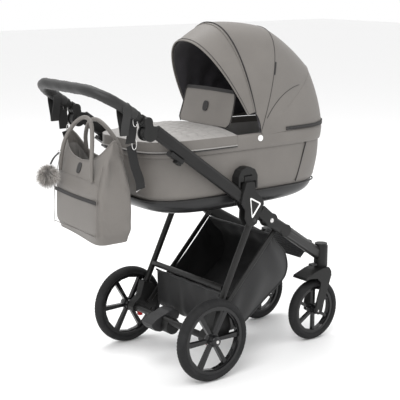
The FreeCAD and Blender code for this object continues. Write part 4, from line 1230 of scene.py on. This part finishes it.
class PRAM_OT_basket(bpy.types.Operator):
    """The shopping basket: coated cloth tub with leather side panels, hems and piping."""
    bl_idname = "pram.basket"
    bl_label = "Basket"

    # Side outline of the tub, from its front top corner round its bottom to its rear top corner.
    OUTLINE = ((0.345, 0.462), (0.366, 0.433), (0.403, 0.396), (0.420, 0.349), (0.417, 0.310),
               (0.394, 0.278), (0.322, 0.230), (0.260, 0.186), (0.209, 0.152), (0.160, 0.138), (0.112, 0.140),
               (0.094, 0.165), (0.092, 0.210), (0.090, 0.286))
    HALF = 0.188

    def execute(self, context):
        sizes = context.scene.pram_sizes
        look = finishes()
        line = curve_points([Vector((x, 0, z)) for x, z in self.OUTLINE], 4)
        count = len(line)

        def sling(u, v):
            k = round(u * (count - 1))
            y = mix(-self.HALF, self.HALF, v)
            t = k / (count - 1)
            belly = (1 - (y / self.HALF) ** 2)
            point = line[k]
            sag = 0.008 * belly * math.sin(math.pi * t)
            wrinkle = 0.004 * math.sin(y * 46 + t * 9) * smooth((t - 0.7) * 5) * math.sin(math.pi * v)
            wrinkle += 0.0025 * math.sin(y * 70 - t * 20) * math.sin(math.pi * v)
            out = Vector((point.x - 0.22, 0, point.z - 0.32)).normalized()
            return at(point.x, y, point.z) + out * (sag + wrinkle)

        tub = surface("basket_sling", count - 1, 48, sling)
        walled(tub, 0.002, 0.0)
        self.hang(soft_shade(tub, 60), look["basket"], ("basket",))
        for label, sign in SIDES:
            self.side(label, sign, line, look, sizes)
        front = [at(0.343, mix(-self.HALF, self.HALF, k / 20), 0.464) for k in range(21)]
        self.hang(tube("basket_front_hem", front, 0.0042, 10), look["basket_panel"])
        back = [at(0.090, mix(-self.HALF - 0.01, self.HALF + 0.01, k / 20),
                   0.288 + 0.0015 * math.sin(k * 1.3)) for k in range(21)]
        self.hang(tube("basket_rear_hem", back, 0.0042, 10), look["basket_panel"])
        return {"FINISHED"}

    def top_edge(self, t):
        """The side panel's top, just under the stay and then back to the rear bar."""
        if t < 0.72:
            s = t / 0.72
            return Vector((mix(0.345, 0.146, s), 0, mix(0.462, 0.258, s) - 0.006 * math.sin(s * math.pi)))
        s = (t - 0.72) / 0.28
        return Vector((mix(0.146, 0.092, s), 0, mix(0.258, 0.286, s)))

    def side(self, label, sign, line, look, sizes):
        count = len(line)

        def panel(u, v):
            k = round(u * (count - 1))
            low, high = line[k], self.top_edge(u)
            point = mix(low, high, v)
            bulge = 0.010 * math.sin(math.pi * clamp(v)) * math.sin(math.pi * u) ** 0.6
            fold = 0.0035 * math.sin(u * 23 + v * 6) * math.sin(math.pi * v)
            return at(point.x, sign * (self.HALF + 0.002 + bulge + fold), point.z)

        side = surface(f"basket_side_{label}", count - 1, 22, panel, at(0.25, 0, 0.3))
        walled(side, 0.0022)
        self.hang(soft_shade(side, 60), look["basket_panel"])
        rim = [at(p.x, sign * (self.HALF + 0.003), p.z) for p in line]
        self.hang(tube(f"basket_low_piping_{label}", rim, sizes.piping, 8), look["basket_panel"])
        top = [self.top_edge(k / 40) for k in range(41)]
        edge = [at(p.x, sign * (self.HALF + 0.003), p.z) for p in top]
        self.hang(tube(f"basket_top_piping_{label}", edge, sizes.piping * 1.2, 8), look["basket_panel"])

    def hang(self, piece, finish, replaces=()):
        """Finish a basket piece and hang it on the stays, with a mesh of its own."""
        finish_piece(piece, finish, "stays", replaces)
        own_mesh(piece)


class PRAM_OT_wheels(bpy.types.Operator):
    """Tyres with a moulded tread, and hub caps."""
    bl_idname = "pram.wheels"
    bl_label = "Wheels"

    def execute(self, context):
        look = finishes()
        for end, grooves in (("front", 60), ("rear", 72)):
            for label, sign in SIDES:
                self.tyre(look, end, label, grooves)
                self.cap(look, end, label, sign)
        return {"FINISHED"}

    def tyre(self, look, end, label, grooves):
        low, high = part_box(f"{end}_tyre_{label}")
        centre = Vector([(a + b) / 2 for a, b in zip(low, high)])
        radius, half = (high[2] - low[2]) / 2, (high[1] - low[1]) / 2
        bed = radius - 0.0265
        profile = [(bed, -0.70), (bed + 0.002, -0.80), (bed + 0.006, -0.93), (bed + 0.013, -1.0),
                   (radius - 0.0085, -0.88), (radius - 0.004, -0.66), (radius - 0.0012, -0.40),
                   (radius, -0.13), (radius, 0.13), (radius - 0.0012, 0.40), (radius - 0.004, 0.66),
                   (radius - 0.0085, 0.88), (bed + 0.013, 1.0), (bed + 0.006, 0.93), (bed + 0.002, 0.80),
                   (bed, 0.70), (bed - 0.001, 0.0)]
        tread = {4, 5, 10, 11}

        def corner(u, v):
            turn = 2 * math.pi * u
            k = round(v * len(profile)) % len(profile)
            out, y = profile[k]
            if k in tread:
                out -= 0.0012 * (0.5 + 0.5 * math.sin(turn * grooves)) ** 2
            return centre + Vector((out * math.cos(turn), y * half, out * math.sin(turn)))

        tyre = surface(f"{end}_tyre_ring_{label}", grooves * 4, len(profile), corner)
        closed_up(tyre)
        finish_piece(soft_shade(tyre, 45), look["rubber"], f"{end}_wheel_{label}",
                     (f"{end}_tyre_{label}",))

    def cap(self, look, end, label, sign):
        low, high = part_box(f"{end}_rim_{label}")
        centre = Vector([(a + b) / 2 for a, b in zip(low, high)])
        out = (high[1] - low[1]) / 2
        size = 0.020 if end == "rear" else 0.014
        profile = ((0.0, 0.0095), (0.5, 0.0092), (0.82, 0.0075), (1.0, 0.003), (1.0, -0.002),
                   (0.0, -0.002))

        def corner(u, v):
            turn = 2 * math.pi * u
            ring, lift = profile[round(v * (len(profile) - 1))]
            return centre + Vector((size * ring * math.cos(turn), sign * (out + lift),
                                    size * ring * math.sin(turn)))

        cap = surface(f"{end}_cap_{label}", 32, len(profile) - 1, corner)
        closed_up(cap)
        finish_piece(soft_shade(cap, 40), look["rim"], f"{end}_wheel_{label}")


CHASSIS_FINISH = (
    ("coat", ("main_tube", "front_tube", "rear_leg", "rear_crossbar", "rear_axle_tube", "stays",
              "handle_tube")),
    ("steel", ("pivot_pins", "rear_axle_pins", "front_axle")),
    ("white", ("hub_badges", "hood_knobs")),
    ("plastic", ("hub_left", "hub_right", "carrycot_adapters", "fold_plates", "handle_sockets",
                 "release_lever", "handle_knuckles", "swivel_housings", "fork", "suspension_housings",
                 "brake_housing", "carrycot_brackets")),
    ("grey_plastic", ("handle_button", "swivel_lock", "brake_pedal")),
    ("ribbed", ("footplate",)),
    ("red", ("wheel_release",)),
    ("rim", ("front_rim", "rear_rim")),
)


class PRAM_OT_chassis(bpy.types.Operator):
    """Finishes and broken edges of the chassis, with its rivets and footplate ribs."""
    bl_idname = "pram.chassis"
    bl_label = "Chassis"

    def execute(self, context):
        look = finishes()
        for finish, starts in CHASSIS_FINISH:
            for name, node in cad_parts.items():
                if name.startswith(starts):
                    node.data.materials.clear()
                    node.data.materials.append(look[finish])
                    self.soften(node)
        self.rivets(look)
        self.ribs(look)
        return {"FINISHED"}

    def soften(self, node):
        """Break the sharp edges of a moulded or drawn piece."""
        weld = node.modifiers.new("Weld", "WELD")
        weld.merge_threshold = 0.00002
        bevel = node.modifiers.new("Bevel", "BEVEL")
        bevel.width = 0.0011
        bevel.segments = 2
        bevel.limit_method = "ANGLE"
        bevel.angle_limit = math.radians(40)

    def rivets(self, look):
        spots = [("fold", at(0.294, 0, 0.537), 0.0085), ("leg", at(0.210, 0, 0.550), 0.007)]
        for label, sign in SIDES:
            for name, centre, size in spots:
                self.head(f"rivet_{name}_{label}", centre + Vector((0, 0.2445 * sign, 0)), size, sign,
                          look["steel"] if name == "fold" else look["grey_plastic"])

    def head(self, name, centre, size, sign, finish):
        profile = ((0.0, 0.0026), (0.45, 0.0024), (0.8, 0.0016), (1.0, 0.0), (0.9, -0.0006), (0.0, -0.0006))

        def corner(u, v):
            turn = 2 * math.pi * u
            ring, lift = profile[round(v * (len(profile) - 1))]
            return centre + Vector((size * ring * math.cos(turn), lift * sign,
                                    size * ring * math.sin(turn)))

        piece = surface(name, 24, len(profile) - 1, corner)
        closed_up(piece)
        finish_piece(soft_shade(piece, 40), finish, "upper_frame")

    def ribs(self, look):
        """Raised ribs across the footplate."""
        slope = math.radians(-42)
        along = Vector((math.cos(slope), 0, -math.sin(slope)))
        up = Vector((math.sin(slope), 0, math.cos(slope)))
        for k in range(9):
            middle = at(0.572, 0, 0.362) + up * 0.0057 + along * ((k - 4) * 0.0088)
            line = [middle + Vector((0, y, 0)) for y in (-0.122, -0.06, 0.0, 0.06, 0.122)]
            rib = tube(f"footplate_rib_{k}", line, 0.0021, 8, up=up)
            finish_piece(rib, look["ribbed"], "front_frame")


class PRAM_OT_stage(bpy.types.Operator):
    """A pale floor, soft studio light and the camera."""
    bl_idname = "pram.stage"
    bl_label = "Stage"

    def execute(self, context):
        nothing_selected()
        scene = context.scene
        bpy.ops.mesh.primitive_plane_add(size=40, location=(0, 0, 0))
        floor = context.object
        floor.name = "floor"
        ground = Look("floor_paint", (0.9, 0.9, 0.9), 0.7)
        floor.data.materials.append(ground.material)
        scene.view_settings.view_transform = "Standard"
        world = bpy.data.worlds.new("studio")
        scene.world = world
        world.use_nodes = True
        back = world.node_tree.nodes["Background"]
        back.inputs["Color"].default_value = (1, 1, 1, 1)
        back.inputs["Strength"].default_value = 1.0
        for name, place, size, power_w in (("key", (-3.2, -2.2, 4.2), 3.0, 160),
                                           ("fill", (3.6, -3.4, 2.4), 3.0, 35),
                                           ("top", (0.2, 1.6, 4.6), 3.0, 110)):
            lamp = bpy.data.lights.new(name, "AREA")
            lamp.size = size
            lamp.energy = power_w
            lamp_object = bpy.data.objects.new(name, lamp)
            context.collection.objects.link(lamp_object)
            lamp_object.location = place
            aim = Vector((0, 0, 0.6)) - Vector(place)
            lamp_object.rotation_euler = aim.to_track_quat("-Z", "Y").to_euler()
        lens = bpy.data.cameras.new("camera")
        lens.lens = 96.14
        lens.sensor_width = 36
        camera = bpy.data.objects.new("camera", lens)
        context.collection.objects.link(camera)
        azimuth, elevation, distance = math.radians(-37.585), math.radians(12.204), 3.982
        target = at(0.1508, 0, 0.5906)
        back_way = Vector((math.sin(azimuth) * math.cos(elevation),
                           -math.cos(azimuth) * math.cos(elevation), math.sin(elevation)))
        camera.location = target + back_way * distance
        camera.rotation_euler = (-back_way).to_track_quat("-Z", "Y").to_euler()
        scene.camera = camera
        return {"FINISHED"}


STEPS = (PRAM_OT_stage, PRAM_OT_chassis, PRAM_OT_wheels, PRAM_OT_handle, PRAM_OT_basket,
         PRAM_OT_carrycot, PRAM_OT_apron, PRAM_OT_hood, PRAM_OT_bag, PRAM_OT_pompom)


class PRAM_PT_panel(bpy.types.Panel):
    """Lists the steps that build the pram."""
    bl_idname = "PRAM_PT_panel"
    bl_label = "Pram"
    bl_space_type = "VIEW_3D"
    bl_region_type = "UI"
    bl_category = "Pram"

    def draw(self, context):
        for step in STEPS:
            self.layout.operator(step.bl_idname)
        for group in (context.scene.pram_sizes, context.scene.pram_colours):
            for name in group.__annotations__:
                self.layout.prop(group, name)


CLASSES = (PramSizes, PramColours, *STEPS, PRAM_PT_panel)


def register():
    for each in CLASSES:
        bpy.utils.register_class(each)
    bpy.types.Scene.pram_sizes = bpy.props.PointerProperty(type=PramSizes)
    bpy.types.Scene.pram_colours = bpy.props.PointerProperty(type=PramColours)


def unregister():
    del bpy.types.Scene.pram_sizes
    del bpy.types.Scene.pram_colours
    for each in reversed(CLASSES):
        bpy.utils.unregister_class(each)


def main():
    register()
    bpy.ops.pram.stage()
    bpy.ops.pram.chassis()
    bpy.ops.pram.wheels()
    bpy.ops.pram.handle()
    bpy.ops.pram.basket()
    bpy.ops.pram.carrycot()
    bpy.ops.pram.apron()
    bpy.ops.pram.hood()
    bpy.ops.pram.bag()
    bpy.ops.pram.pompom()


if __name__ == "__main__":
    main()
